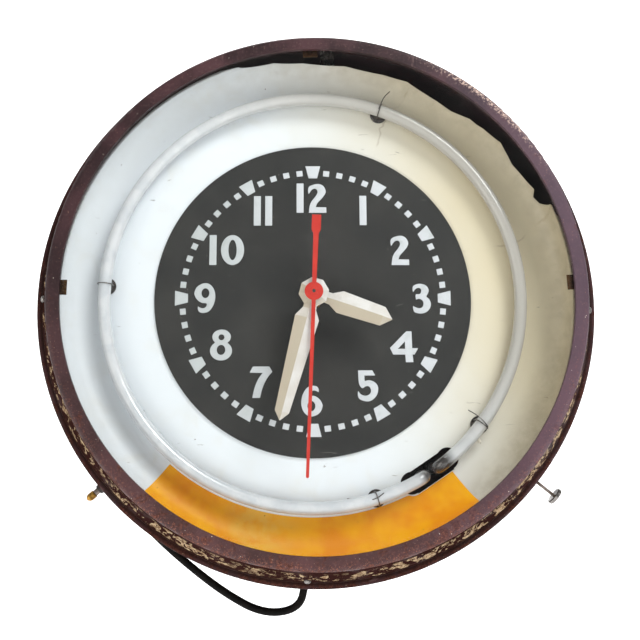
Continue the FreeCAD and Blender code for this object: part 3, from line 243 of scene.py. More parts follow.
def case_paint():
    """Weathered plum, with a flare darkened partly by dark rust and partly by painted shade, that
    has flaked down to cream primer.
    """
    f = Finish("case_paint")
    low = f.band(f.z, 120, -220)
    bead = f.between(f.y, *BEAD, 2)
    groove = f.between(f.y, *GROOVE, 0.8)
    flare = f.between(f.y, *FLARE, 2.5)
    neck = f.band(f.y, *NECK)
    back_edge = f.band(f.y, *BACK_EDGE)
    wear = f.plus(f.plus(f.times(low, 0.5), f.times(bead, 0.5)), f.times(back_edge, 0.4))
    colour, rust, fine, broad = weathered(f, wear)
    # Dark rust and painted shade: the flare, the bead and the gap under the bezel darkened, less
    # towards the lit upper right.
    rust_and_shade = f.plus(f.plus(flare, f.times(bead, 0.6)), neck)
    rust_and_shade = f.times(rust_and_shade, f.band(f.noise(26, 6), 0.3, 0.6, 0.62, 0.98))
    rust_and_shade = f.times(rust_and_shade, f.band(f.plus(f.x, f.times(f.z, 0.5)), 20, 170, 1.0, 0.62))
    colour = f.mix(f.math("MINIMUM", rust_and_shade, 0.95), colour, f.mix(fine, SHADE_AND_RUST_BROWN, RUST_DARK))
    flake = f.band(f.plus(f.noise(9, 5, 0.66, 0.9), f.times(low, 0.05)), 0.56, 0.585)
    bare = f.times(flake, f.between(f.y, *FLARE_MIDDLE, 3))
    flecks = f.times(f.band(f.noise(3.0, 9, 0.85), 0.60, 0.63), f.between(f.y, *BEAD_CROWN, 4))
    cream = f.math("MAXIMUM", bare, flecks)
    cream = f.times(cream, f.band(f.noise(44, 3), 0.34, 0.5, 0.25, 0.95))
    colour = f.mix(cream, colour, f.mix(f.band(fine, 0.42, 0.58), srgb(118, 92, 68), CREAM))
    # Painted shade: the groove between the flare and the bead darkened.
    colour = f.mix(f.times(groove, 0.75), colour, SHADE_AND_RUST_BROWN)
    scratch = f.band(f.noise(5, 3, 0.5, 0, (0.16, 2.4, 0.16)), 0.66, 0.72)
    colour = f.mix(f.times(scratch, 0.3), colour, PLUM_PALE)
    roughness = f.plus(f.band(rust, 0, 1, 0.46, 0.88), f.times(fine, 0.1))
    height = f.plus(f.plus(f.times(broad, 0.4), f.times(fine, 0.4)), f.times(cream, 0.5))
    shine = f.band(rust_and_shade, 0.0, 0.8, 0.12, 0.0)
    return f.done(colour, roughness, height, 0.4, Specular_IOR_Level=shine)


def bezel_paint():
    """Weathered plum, rubbed bare along its edges and on the shoulder at the upper right."""
    f = Finish("bezel_paint")
    reach = f.radius()
    low = f.band(f.z, 40, -220)
    outer = f.band(reach, *BEZEL_OUTER_EDGE)
    inner = f.band(reach, *BEZEL_INNER_EDGE)
    wear = f.plus(f.times(low, 0.5), f.plus(f.times(outer, 0.55), f.times(inner, 0.1)))
    colour, rust, fine, broad = weathered(f, wear)
    colour = f.mix(f.times(low, 0.14), colour, srgb(124, 80, 72))
    ember = f.times(f.band(f.noise(1.7, 8, 0.8), 0.53, 0.61), f.band(f.z, 60, -160))
    ember = f.times(ember, f.band(f.plus(reach, f.times(broad, 9)), *BEZEL_OUTER_HALF))
    colour = f.mix(f.times(ember, 0.75), colour, srgb(152, 92, 70))
    # Painted highlight: the paint lighter and more violet towards the right side.
    right_side_highlight = f.times(f.band(f.x, 60, 240), 0.45)
    colour = f.mix(right_side_highlight, colour, srgb(104, 84, 98))
    patch = f.band(f.noise(36, 3), 0.42, 0.6)
    shoulder = f.times(f.near(WORN_SHOULDER, 20, 110), f.band(reach, *BEZEL_FACE))
    # Painted shade: the paint darker towards the left side.
    colour = f.mix(f.times(f.band(f.x, -110, -245), 0.45), colour, PLUM_DARK)
    edges = f.plus(f.times(outer, 0.6), f.times(inner, 0.3))
    rubbed = f.times(f.band(f.noise(2.4, 9, 0.85), 0.58, 0.63), edges)
    rubbed = f.times(rubbed, f.plus(f.times(patch, 0.8), f.times(low, 0.2)))
    colour = f.mix(f.math("MINIMUM", rubbed, 0.85), colour, f.mix(fine, srgb(150, 122, 106), CREAM))
    worn = f.times(f.band(f.plus(fine, f.times(shoulder, 0.10)), 0.57, 0.65), shoulder)
    colour = f.mix(f.times(worn, 0.85), colour, srgb(206, 178, 162))
    dots = f.times(f.specks(8, 0.06), f.band(f.noise(30, 4), 0.42, 0.55))
    colour = f.mix(dots, colour, srgb(204, 190, 178))
    pits = f.times(f.specks(3.2, 0.15), f.band(f.noise(20, 4), 0.4, 0.6))
    colour = f.mix(f.times(pits, 0.55), colour, srgb(150, 112, 96))
    scratch = f.band(f.noise(4, 3, 0.5, 0, (0.5, 2, 0.1)), 0.69, 0.73)
    colour = f.mix(f.times(scratch, 0.4), colour, PLUM_PALE)
    roughness = f.plus(f.band(rust, 0, 1, 0.42, 0.84), f.times(fine, 0.12))
    height = f.plus(f.times(broad, 0.4), f.times(fine, 0.6))
    return f.done(colour, roughness, height, 0.34, Specular_IOR_Level=0.24)


def reflector_enamel():
    """White enamel, yellower and darker where it faces away from the window, partly from age and
    partly as painted shade, and painted shade towards its rim.
    """
    f = Finish("reflector_enamel")
    reach = f.radius()
    lean = f.plus(f.times(f.x, 0.92), f.times(f.z, 0.30))
    # Partly painted shade and partly ageing: the white turns yellower and darker towards the right,
    # where the pan faces away from the window light.
    side = f.band(f.plus(lean, f.times(f.noise(90, 3), 50)), 5, 218)
    lit_white, shaded_aged_white = srgb(226, 231, 235), srgb(212, 200, 170)
    colour = f.mix(side, lit_white, shaded_aged_white)
    grime = f.times(f.band(f.noise(34, 6, 0.65, 0.5), 0.48, 0.75), 0.22)
    colour = f.mix(grime, colour, srgb(206, 198, 176))
    # Painted shadow of the bezel: the rim darkened, more towards the right and top.
    rim = f.times(f.band(reach, *REFLECTOR_RIM), f.band(f.noise(13, 6), 0.3, 0.7, 0.6, 1.0))
    shade = f.plus(f.times(f.band(lean, -120, 160), 0.5), 0.12)
    colour = f.mix(f.times(rim, shade), colour, srgb(142, 128, 104))
    edge = f.band(f.plus(reach, f.times(f.noise(5, 6), 1.6)), *REFLECTOR_EDGE)
    colour = f.mix(f.times(edge, 0.7), colour, RUST_DARK)
    wobble = f.times(f.noise(30, 3), 22)
    ring_gap = f.math("ABSOLUTE", f.plus(f.plus(f.radius(STAIN_CENTRE), wobble), -STAIN_RADIUS))
    stain = f.times(f.band(ring_gap, 0.3, 1.5, 1.0, 0.0), f.band(f.noise(24, 4), 0.42, 0.6))
    colour = f.mix(f.times(stain, 0.35), colour, srgb(140, 118, 88))
    scratch = f.band(f.noise(6, 4, 0.55, 0.8, (0.35, 1, 1.6)), 0.705, 0.73)
    colour = f.mix(f.times(scratch, 0.5), colour, srgb(96, 84, 70))
    dots = f.times(f.specks(21, 0.035), f.band(f.noise(60, 2), 0.45, 0.6))
    colour = f.mix(dots, colour, srgb(86, 60, 42))
    roughness = f.band(f.noise(9, 5), 0.3, 0.7, 0.34, 0.52)
    height = f.plus(f.times(f.noise(26, 4), 0.8), f.times(f.noise(1.6, 4), 0.2))
    return f.done(colour, roughness, height, 0.12)


def dial_paint():
    """Dull black, greyed in clouds, with dust and light scuffs."""
    f = Finish("dial_paint")
    cloud = f.band(f.noise(52, 5), 0.35, 0.7)
    colour = f.mix(cloud, srgb(45, 45, 44), srgb(53, 52, 50))
    grain = f.noise(0.9, 6, 0.75)
    colour = f.mix(f.times(f.band(grain, 0.52, 0.72), 0.18), colour, srgb(90, 88, 86))
    dust = f.specks(9, 0.05)
    colour = f.mix(f.times(dust, 0.6), colour, srgb(180, 172, 158))
    scuff = f.band(f.noise(7, 4, 0.5, 0.6, (0.3, 1, 1.8)), 0.70, 0.74)
    colour = f.mix(f.times(scuff, 0.25), colour, srgb(150, 146, 140))
    roughness = f.band(grain, 0.3, 0.7, 0.48, 0.66)
    return f.done(colour, roughness, grain, 0.03, Specular_IOR_Level=0.22)


FIGURE_GREYING = 0.6


def figure_paint():
    """A thick printed white with grain showing through where it is thin."""
    f = Finish("figure_paint")
    full, worn = srgb(204, 207, 211), srgb(172, 178, 176)
    grain = f.noise(0.8, 6, 0.75)
    thin = f.band(f.plus(f.times(f.noise(13, 5, 0.7), 0.7), f.times(grain, 0.3)), 0.48, 0.68)
    colour = f.mix(f.times(thin, FIGURE_GREYING), full, worn)
    # Greyer towards the left of the dial.
    colour = f.mix(f.times(f.band(f.x, 0, -110), FIGURE_GREYING), colour, worn)
    pin = f.specks(4.6, 0.05)
    colour = f.mix(f.times(pin, 0.5), colour, worn)
    roughness = f.band(grain, 0.3, 0.7, 0.42, 0.6)
    return f.done(colour, roughness, grain, 0.025)


def panel_paint():
    """Bright yellow, deeper in clouds and faded around one spot."""
    f = Finish("panel_paint")
    deep, bright, faded = srgb(234, 146, 0), srgb(246, 176, 4), srgb(238, 186, 70)
    colour = f.mix(f.band(f.noise(40, 5), 0.35, 0.65), deep, bright)
    middle = f.near(round_dial(*FADED_SPOT), 10, 46)
    colour = f.mix(f.times(middle, f.band(f.noise(24, 4), 0.3, 0.62)), colour, faded)
    grain = f.noise(1.1, 6, 0.7)
    colour = f.mix(f.times(f.band(grain, 0.55, 0.75), 0.25), colour, srgb(214, 140, 20))
    dots = f.specks(15, 0.05)
    colour = f.mix(f.times(dots, 0.7), colour, srgb(120, 78, 24))
    roughness = f.band(grain, 0.3, 0.7, 0.36, 0.52)
    return f.done(colour, roughness, grain, 0.04, Specular_IOR_Level=0.25)


def lens_glass():
    """A clear pane with a light film of dust, let through by lamps and shadows alike."""
    f = Finish("lens_glass")
    f.tree.nodes.remove(f.shader)
    clear = f.add("ShaderNodeBsdfTransparent", {0: (0.985, 0.99, 0.985, 1.0)})
    rough = f.band(f.noise(40, 4), 0.3, 0.7, 0.02, 0.07)
    shine = f.add("ShaderNodeBsdfGlossy", {"Roughness": rough})
    film = f.add("ShaderNodeBsdfDiffuse", {0: srgb(222, 220, 214)})
    slant = f.add("ShaderNodeLayerWeight", {"Blend": 0.5}).outputs["Facing"]
    mirror = f.plus(f.times(f.math("POWER", slant, 5.0), 0.7), 0.012)
    pane = f.add("ShaderNodeMixShader", {0: mirror, 1: clear.outputs[0], 2: shine.outputs[0]})
    smear = f.band(f.noise(48, 6, 0.6, 0.8), 0.45, 0.8, 0.0, 0.006)
    rim = f.times(f.band(f.radius(), *GLASS_RIM), 0.03)
    coat = f.plus(smear, rim)
    dust = f.add("ShaderNodeMixShader", {0: coat, 1: pane.outputs[0], 2: film.outputs[0]})
    f.feed(f.tree.nodes["Material Output"].inputs[0], dust.outputs[0])
    return f.material


def tube_glass():
    """Milky glass, blackened where its ends burn and hazy beyond."""
    f = Finish("tube_glass")
    streak = f.noise(16, 5, 0.6, 0.4)
    colour = f.mix(f.band(streak, 0.35, 0.65), srgb(200, 204, 208), srgb(214, 216, 218))
    # Painted shade: the tube greyer and yellower towards the right and top.
    side = f.band(f.plus(f.x, f.times(f.z, 0.6)), -60, 190)
    colour = f.mix(side, colour, srgb(176, 172, 164))
    burnt = f.near(round_dial(TUBE_RADIUS, BURN_ANGLE, TUBE_LEVEL), 9, 24)
    burnt = f.math("MINIMUM", f.times(burnt, f.band(f.noise(8, 5), 0.2, 0.5, 0.7, 1.25)), 0.97)
    colour = f.mix(burnt, colour, srgb(44, 38, 34))
    haze = f.near(round_dial(TUBE_RADIUS, HAZE_ANGLE, TUBE_LEVEL), 6, 26)
    colour = f.mix(f.times(haze, 0.28), colour, srgb(150, 148, 150))
    roughness = f.band(f.noise(5, 4), 0.3, 0.7, 0.10, 0.22)
    return f.done(
        colour, roughness, f.noise(7, 3), 0.05, Coat_Weight=0.5, Coat_Roughness=0.05, IOR=1.5
    )


def metal(name, base, dark, tarnish, rough=(0.24, 0.46), amount=0.45):
    """Bare or plated metal, dulled in patches and lightly scratched."""
    f = Finish(name)
    cloud = f.noise(8, 6, 0.68, 0.4)
    fine = f.noise(0.7, 5, 0.7)
    colour = f.mix(f.band(cloud, 0.36, 0.66), base, dark)
    patch = f.band(f.noise(3.1, 8, 0.75), 0.55, 0.68)
    colour = f.mix(f.times(patch, amount), colour, tarnish)
    metallic = f.band(f.times(patch, amount), 0.0, 1.0, 1.0, 0.2)
    roughness = f.plus(f.band(cloud, 0.3, 0.7, *rough), f.times(patch, 0.22))
    height = f.plus(f.times(fine, 0.6), f.times(patch, 0.4))
    return f.done(colour, roughness, height, 0.03, Metallic=metallic)


def moulded(name, base, pale, rough=(0.4, 0.62), grain=0.9, depth=0.05, shine=0.3):
    """Rubber, moulding or fired clay: fine grain, dust in patches, worn pale spots."""
    f = Finish(name)
    cloud = f.noise(11, 6, 0.66)
    fine = f.noise(grain, 6, 0.72)
    colour = f.mix(f.times(f.band(cloud, 0.42, 0.72), 0.6), base, pale)
    colour = f.mix(f.times(f.band(fine, 0.55, 0.75), 0.4), colour, pale)
    roughness = f.band(cloud, 0.3, 0.7, *rough)
    return f.done(colour, roughness, fine, depth, Specular_IOR_Level=shine)


def hand_paint(name, base, pale, scuffed, shaded_facet_colour, amount=0.4):
    """Brushed-on paint, slightly uneven, with painted shade as a tan tint on facets that lean away
    from the window.
    """
    f = Finish(name)
    cloud = f.noise(14, 5, 0.6)
    fine = f.noise(0.9, 6, 0.72)
    colour = f.mix(f.band(cloud, 0.36, 0.66), base, pale)
    lean_x, _, lean_z = f.add("ShaderNodeSeparateXYZ", {0: f.facing}).outputs
    # Painted shade: facets that face away from the window light are tinted tan.
    away = f.band(f.plus(f.times(lean_x, 0.75), f.times(lean_z, 0.65)), -0.16, 0.06, 1.0, 0.0)
    colour = f.mix(away, colour, shaded_facet_colour)
    spot = f.band(f.noise(3.8, 8, 0.78, 0.3), 0.60, 0.68)
    colour = f.mix(f.times(spot, amount), colour, scuffed)
    roughness = f.band(fine, 0.3, 0.7, 0.34, 0.52)
    return f.done(colour, roughness, f.plus(f.times(fine, 0.5), f.times(cloud, 0.5)), 0.05)


def laminated():
    """A stack of thin iron sheets, seen as fine lines across the side of a core."""
    f = Finish("iron")
    line = f.math("FRACT", f.times(f.y, 1.6))
    seam = f.band(f.math("ABSOLUTE", f.plus(line, -0.5)), 0.36, 0.5)
    cloud = f.noise(9, 6, 0.7)
    colour = f.mix(f.band(cloud, 0.38, 0.66), srgb(74, 70, 68), srgb(108, 100, 94))
    rust = f.band(f.noise(5, 8, 0.75), 0.56, 0.66)
    colour = f.mix(f.times(rust, 0.6), colour, RUST)
    colour = f.mix(f.times(seam, 0.6), colour, srgb(30, 27, 26))
    roughness = f.band(rust, 0, 1, 0.42, 0.8)
    return f.done(colour, roughness, f.math("SUBTRACT", cloud, seam), 0.12, Metallic=0.7)


def wrapped_tape():
    """Varnished cloth tape wound round a coil, lapped every few millimetres."""
    f = Finish("coil_wrap")
    lap = f.math("FRACT", f.times(f.plus(f.x, f.times(f.z, 0.25)), 0.14))
    edge = f.band(lap, 0.0, 0.12, 1.0, 0.0)
    weave = f.times(f.math("SINE", f.times(f.x, 9.0)), f.math("SINE", f.times(f.z, 9.0)))
    cloud = f.noise(12, 5)
    colour = f.mix(f.band(cloud, 0.36, 0.66), srgb(120, 84, 44), srgb(158, 120, 70))
    colour = f.mix(f.times(edge, 0.7), colour, srgb(58, 38, 22))
    height = f.plus(f.times(weave, 0.25), f.times(lap, 0.75))
    return f.done(colour, f.band(cloud, 0.3, 0.7, 0.34, 0.55), height, 0.2)


def knurled_brass():
    """Old brass with dirt lying in fine diamond knurling."""
    f = Finish("knurled_brass")
    cloud = f.noise(4, 7, 0.7)
    colour = f.mix(f.band(cloud, 0.38, 0.64), srgb(168, 128, 58), srgb(104, 76, 38))
    grime = f.band(f.noise(1.6, 8, 0.75), 0.54, 0.66)
    colour = f.mix(f.times(grime, 0.6), colour, srgb(62, 50, 30))
    roughness = f.band(cloud, 0.3, 0.7, 0.26, 0.5)
    return f.done(colour, roughness, grime, 0.06, Metallic=f.band(grime, 0, 1, 1.0, 0.45))


def metal_finishes():
    """The bare and plated metals, by name."""
    silver, grey = srgb(138, 134, 130), srgb(72, 67, 63)
    worn_silver, brown_grey = srgb(128, 118, 110), srgb(86, 74, 66)
    gold, old_gold, verdigris = srgb(186, 148, 78), srgb(158, 124, 62), srgb(92, 74, 44)
    umber, dark_umber, black_umber = srgb(112, 84, 56), srgb(74, 54, 42), srgb(48, 36, 32)
    bright, dull, oxide = srgb(206, 207, 208), srgb(164, 166, 168), srgb(130, 130, 130)
    return {
        "steel": metal("steel", silver, grey, RUST_DARK, (0.18, 0.4), amount=0.6),
        "rusty_steel": metal("rusty_steel", worn_silver, brown_grey, RUST, (0.4, 0.66), amount=0.8),
        "brass": metal("brass", gold, old_gold, verdigris),
        "browned_brass": metal("browned_brass", umber, dark_umber, black_umber, amount=0.7),
        "knurled_brass": knurled_brass(),
        "aluminium": metal("aluminium", bright, dull, oxide),
        "iron": laminated(),
    }


def moulded_finishes():
    """Rubber, fired clay and mouldings, by name."""
    black, dusty_black = srgb(13, 12, 11), srgb(36, 31, 28)
    ivory, stained_ivory = srgb(226, 220, 206), srgb(176, 164, 142)
    brown, dusty_brown = srgb(38, 33, 31), srgb(84, 74, 66)
    charcoal, dusty_charcoal = srgb(46, 42, 40), srgb(104, 94, 82)
    return {
        "rubber": moulded("rubber", black, dusty_black, (0.5, 0.7), 1.3, 0.08, 0.06),
        "porcelain": moulded("porcelain", ivory, stained_ivory, (0.14, 0.3), 2.4, 0.04),
        "moulding": moulded("moulding", brown, dusty_brown, (0.26, 0.44), 1.6),
        "wire_cover": moulded("wire_cover", charcoal, dusty_charcoal, (0.5, 0.7), 1.0, 0.1),
        "coil_wrap": wrapped_tape(),
    }


def painted_finishes():
    """Paints and glass, by name."""
    white, pale_white = srgb(204, 199, 192), srgb(214, 211, 207)
    scuffed_white, shaded_facet_colour = srgb(150, 130, 104), srgb(182, 170, 150)
    red, pale_red, scuffed_red = srgb(186, 40, 28), srgb(200, 50, 36), srgb(136, 38, 30)
    return {
        "case_paint": case_paint(),
        "bezel_paint": bezel_paint(),
        "reflector_enamel": reflector_enamel(),
        "dial_paint": dial_paint(),
        "figure_paint": figure_paint(),
        "panel_paint": panel_paint(),
        "hand_paint": hand_paint("hand_paint", white, pale_white, scuffed_white, shaded_facet_colour),
        "red_paint": hand_paint("red_paint", red, pale_red, scuffed_red, red, 0.3),
        "lens_glass": lens_glass(),
        "tube_glass": tube_glass(),
    }


FINISHES = {**metal_finishes(), **moulded_finishes(), **painted_finishes()}
OWN_FINISH = {
    "switch_knob": "knurled_brass",
    "switch_stem": "rusty_steel",
    "switch_nut": "rusty_steel",
    "set_rod": "rusty_steel",
    "glass_clips": "browned_brass",
    "case_screws": "steel",
    "hanger_bracket": "rusty_steel",
    "cover_screws": "rusty_steel",
    "cover_tabs": "rusty_steel",
    "tube_supports": "moulding",
}


def dress_cad_nodes():
    """Gives each CAD node the finish of its record slot, or its own."""
    slots = {part["node"]: part["material_slot"] for part in frame["record"]["subparts"]}
    for name, piece in NODES.items():
        finish = FINISHES[OWN_FINISH.get(name, slots[name])]
        piece.data.materials.clear()
        piece.data.materials.append(finish)


SMOOTH_BELOW = math.radians(20)
WELD_GAP = 0.000002


def smooth_surface(name):
    """Shades a turned CAD node as one smooth sweep wherever its facets meet at a slight angle."""
    group = bpy.data.node_groups.new("smooth_surface", "GeometryNodeTree")
    for way in ("INPUT", "OUTPUT"):
        group.interface.new_socket("Geometry", in_out=way, socket_type="NodeSocketGeometry")
    add, link = group.nodes.new, group.links.new
    merge = add("GeometryNodeMergeByDistance")
    merge.inputs["Distance"].default_value = WELD_GAP
    plain = add("GeometryNodeRemoveAttribute")
    plain.inputs["Name"].default_value = "custom_normal"
    faces = add("GeometryNodeSetShadeSmooth")
    edges = add("GeometryNodeSetShadeSmooth")
    edges.domain = "EDGE"
    slight = add("FunctionNodeCompare")
    slight.operation = "LESS_THAN"
    slight.inputs[1].default_value = SMOOTH_BELOW
    link(add("GeometryNodeInputMeshEdgeAngle").outputs["Unsigned Angle"], slight.inputs[0])
    link(slight.outputs[0], edges.inputs["Shade Smooth"])
    steps = [add("NodeGroupInput"), merge, plain, faces, edges, add("NodeGroupOutput")]
    for first, second in zip(steps, steps[1:]):
        link(first.outputs[0], second.inputs[0])
    NODES[name].modifiers.new("smooth_surface", "NODES").node_group = group


# ---------------------------------------------------------------- pieces


SHARP_ABOVE = math.radians(30)


def add_piece(name, mesh, finish):
    """Puts a finished mesh in the scene, riding on the case as every added piece does."""
    mesh.shade_smooth()
    mesh.set_sharp_from_angle(angle=SHARP_ABOVE)
    mesh.materials.clear()
    mesh.materials.append(FINISHES[finish])
    piece = bpy.data.objects.new(name, mesh)
    bpy.context.scene.collection.objects.link(piece)
    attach(piece, "case")
    return piece


def curve_mesh(name, outlines, flat, depth, bevel, resolution):
    """A mesh from closed outlines filled flat, or from open paths with a round section."""
    curve = bpy.data.curves.new(name, "CURVE")
    curve.dimensions = "2D" if flat else "3D"
    curve.fill_mode = "BOTH" if flat else "FULL"
    curve.extrude = depth
    curve.bevel_depth = bevel
    curve.bevel_resolution = resolution
    curve.use_fill_caps = not flat
    for outline in outlines:
        spline = curve.splines.new("POLY")
        spline.points.add(len(outline) - 1)
        spline.use_cyclic_u = flat
        for point, place in zip(spline.points, outline):
            third = 0.0 if flat else place[2]
            point.co = (place[0], place[1], third, 1.0)
    holder = bpy.data.objects.new(name + "_path", curve)
    bpy.context.scene.collection.objects.link(holder)
    graph = bpy.context.evaluated_depsgraph_get()
    mesh = bpy.data.meshes.new_from_object(holder.evaluated_get(graph), depsgraph=graph)
    bpy.data.objects.remove(holder)
    mesh.name = name
    return mesh


SEAM_GAP = 0.00001


def clean(mesh):
    """Welds the loose seams a curve leaves in its mesh and turns its faces outwards."""
    work = bmesh.new()
    work.from_mesh(mesh)
    bmesh.ops.remove_doubles(work, verts=work.verts, dist=SEAM_GAP)
    bmesh.ops.recalc_face_normals(work, faces=work.faces)
    work.to_mesh(mesh)
    work.free()
    return mesh


def skin(work, rings):
    """Joins neighbouring closed rings of points with faces."""
    for first, second in zip(rings, rings[1:]):
        for index in range(len(first)):
            after = (index + 1) % len(first)
            work.faces.new((first[index], first[after], second[after], second[index]))


def finished(work, name):
    """The mesh of a closed bmesh, its faces turned outwards."""
    bmesh.ops.recalc_face_normals(work, faces=work.faces)
    mesh = bpy.data.meshes.new(name)
    work.to_mesh(mesh)
    work.free()
    return mesh


PAINT_HALF = 0.00006
PAINT_ROUND = 0.00008
# Turns what lies flat, or looks down, to face along Y.
FACING = Matrix.Rotation(math.radians(90), 4, "X")


def printed(name, outlines, finish):
    """Outlines in mm on the dial's face, standing up from it as a thick coat of paint."""
    scaled = [[(across * MM, up * MM) for across, up in outline] for outline in outlines]
    mesh = curve_mesh(name, scaled, True, PAINT_HALF, PAINT_ROUND, 1)
    rise = DIAL_FACE - PAINT_HALF - PAINT_ROUND
    mesh.transform(Matrix.Translation((DIAL_X, rise, DIAL_Z)) @ FACING)
    add_piece(name, clean(mesh), finish)


# ---------------------------------------------------------------- figures


CUT = 0.25
FIGURE_CUTS = 2


def arc(centre, radii, start, stop, steps=24):
    """Points along an ellipse, from one angle in degrees to another."""
    points = []
    for step in range(steps):
        turn = math.radians(start + (stop - start) * step / (steps - 1))
        across, up = radii[0] * math.cos(turn), radii[1] * math.sin(turn)
        points.append((centre[0] + across, centre[1] + up))
    return points


def softened(points, sharp=()):
    """Cuts an outline's corners, except those listed, so that it reads as a curve."""
    for _ in range(FIGURE_CUTS):
        smoother = []
        for index, point in enumerate(points):
            before, after = points[index - 1], points[(index + 1) % len(points)]
            if point in sharp:
                smoother.append(point)
                continue
            for other in (before, after):
                smoother.append(tuple(p + (o - p) * CUT for p, o in zip(point, other)))
        points = smoother
    return points


# The figures' outlines as shares of their height, across and up, before softening. The corners
# named apart stay sharp.
TWO_CORNERS = [(0.25, 0.187), (0.6, 0.182), (0.603, 0), (0.03, 0)]
TWO = [
    (0.015, 0.627), (0, 0.847), (0.08, 0.93), (0.325, 1), (0.5, 0.94), (0.598, 0.76), (0.56, 0.62),
    (0.42, 0.45), (0.3, 0.33), *TWO_CORNERS, (0.05, 0.22), (0.115, 0.39), (0.26, 0.56),
    (0.33, 0.7), (0.3, 0.8), (0.22, 0.837), (0.13, 0.8), (0.06, 0.7),
]
THREE = [
    (0.02, 0.715), (0.01, 0.9), (0.1, 0.96), (0.25, 1), (0.45, 0.95), (0.545, 0.81), (0.52, 0.68),
    (0.435, 0.56), (0.55, 0.49), (0.61, 0.33), (0.56, 0.15), (0.42, 0.03), (0.25, 0), (0.1, 0.03),
    (0.03, 0.08), (0.01, 0.27), (0.06, 0.22), (0.22, 0.165), (0.33, 0.21), (0.37, 0.33),
    (0.34, 0.44), (0.24, 0.5), (0.17, 0.49), (0.115, 0.45), (0.105, 0.65), (0.18, 0.64),
    (0.27, 0.65), (0.31, 0.78), (0.26, 0.85), (0.19, 0.865), (0.1, 0.82), (0.05, 0.74),
]
FOUR = [
    (0.53, 1), (0.7, 1), (0.71, 0.45), (0.9, 0.45), (0.79, 0.25), (0.72, 0.25), (0.74, 0),
    (0.505, 0), (0.49, 0.25), (0.095, 0.25), (0, 0.46),
]
FIVE_CORNERS = [(0.03, 1), (0.48, 1), (0.57, 0.84), (0.225, 0.84)]
FIVE = [
    *FIVE_CORNERS, (0.225, 0.645), (0.28, 0.67), (0.4, 0.69), (0.55, 0.63), (0.65, 0.52),
    (0.67, 0.38), (0.62, 0.2), (0.48, 0.05), (0.33, 0), (0.15, 0.035), (0.01, 0.12),
    (0.015, 0.36), (0.06, 0.27), (0.15, 0.2), (0.27, 0.18), (0.38, 0.22), (0.44, 0.31),
    (0.43, 0.42), (0.37, 0.5), (0.27, 0.5), (0.2, 0.45), (0.155, 0.42), (0.04, 0.555),
]
SIX = [
    (0.4, 1), (0.55, 0.95), (0.575, 0.765), (0.51, 0.82), (0.4, 0.85), (0.3, 0.8), (0.265, 0.69),
    (0.33, 0.66), (0.42, 0.67), (0.58, 0.58), (0.69, 0.4), (0.68, 0.28), (0.6, 0.11), (0.38, 0),
    (0.2, 0.03), (0.05, 0.2), (0, 0.45), (0.05, 0.72), (0.2, 0.95),
]
SEVEN_CORNERS = [(0.1, 1), (0.62, 1), (0.72, 0.835), (0.33, 0), (0.09, 0), (0.42, 0.8), (0, 0.81)]
SEVEN = [
    (0.1, 1), (0.62, 1), (0.72, 0.835), (0.6, 0.7), (0.5, 0.54), (0.42, 0.36), (0.36, 0.15),
    (0.33, 0), (0.09, 0), (0.13, 0.22), (0.2, 0.45), (0.3, 0.65), (0.42, 0.8), (0, 0.81),
]
SIX_EYE = arc((0.33, 0.34), (0.13, 0.165), 360, 12)
SIX_WIDTH = 0.69


def half_turned(outline):
    """The outline turned half round inside its own box, as a nine is to a six."""
    return [(SIX_WIDTH - across, 1 - up) for across, up in outline]


def digit_outlines():
    """The outlines of each figure, one high, with its width."""
    six = softened(SIX)
    nought = arc((0.375, 0.5), (0.375, 0.5), 360, 9, 40)
    nought_eye = arc((0.375, 0.5), (0.137, 0.345), 360, 12, 30)
    eight_top = arc((0.37, 0.76), (0.295, 0.24), 223, -49, 20)
    eight_foot = arc((0.355, 0.31), (0.35, 0.31), 56, -235, 28)
    eight_eyes = [
        arc((0.365, 0.75), (0.1, 0.097), 360, 15),
        arc((0.355, 0.34), (0.14, 0.165), 360, 15),
    ]
    return {
        "0": ([nought, nought_eye], 0.75),
        "1": ([[(0, 0), (0.225, 0), (0.225, 1), (0, 1)]], 0.225),
        "2": ([softened(TWO, TWO_CORNERS)], 0.60),
        "3": ([softened(THREE)], 0.61),
        "4": ([FOUR, [(0.245, 0.43), (0.49, 0.43), (0.485, 0.68)]], 0.90),
        "5": ([softened(FIVE, FIVE_CORNERS)], 0.67),
        "6": ([six, SIX_EYE], SIX_WIDTH),
        "7": ([softened(SEVEN, SEVEN_CORNERS)], 0.72),
        "8": ([eight_top + eight_foot, *eight_eyes], 0.71),
        "9": ([half_turned(six), half_turned(SIX_EYE)], SIX_WIDTH),
    }


FIGURE_HEIGHT = 29.6
FIGURE_GAP = 0.15
# Each figure's centre in mm across and up from the dial's axis: they are given one by one.
FIGURE_PLACES = {
    12: (-1.5, 100.0), 1: (49.0, 87.6), 2: (84.2, 47.6), 3: (104.6, -0.4), 4: (86.5, -47.3),
    5: (51.4, -84.8), 6: (-1.8, -98.9), 7: (-49.8, -80.9), 8: (-87.9, -45.3), 9: (-104.0, 0.2),
    10: (-83.6, 47.6), 11: (-48.8, 87.0),
}


def dial_figures():
    """The twelve hour figures, upright, each centred on its place."""
    digits = digit_outlines()
    for hour, (across, up) in FIGURE_PLACES.items():
        text = str(hour)
        width = sum(digits[digit][1] for digit in text) + FIGURE_GAP * (len(text) - 1)
        left = -width / 2
        outlines = []
        for digit in text:
            shapes, advance = digits[digit]
            for shape in shapes:
                outline = []
                for x, y in shape:
                    right, rise = (left + x) * FIGURE_HEIGHT, (y - 0.5) * FIGURE_HEIGHT
                    outline.append((across + right, up + rise))
                outlines.append(outline)
            left += advance + FIGURE_GAP
        printed(f"dial_figure_{hour:02d}", outlines, "figure_paint")


# Each mark's middle radius, inner width, outer width and length, in mm.
TRACK = {"square": (125.5, 5.8, 5.8, 5.4), "wedge": (126.4, 8.2, 14.4, 12.2)}


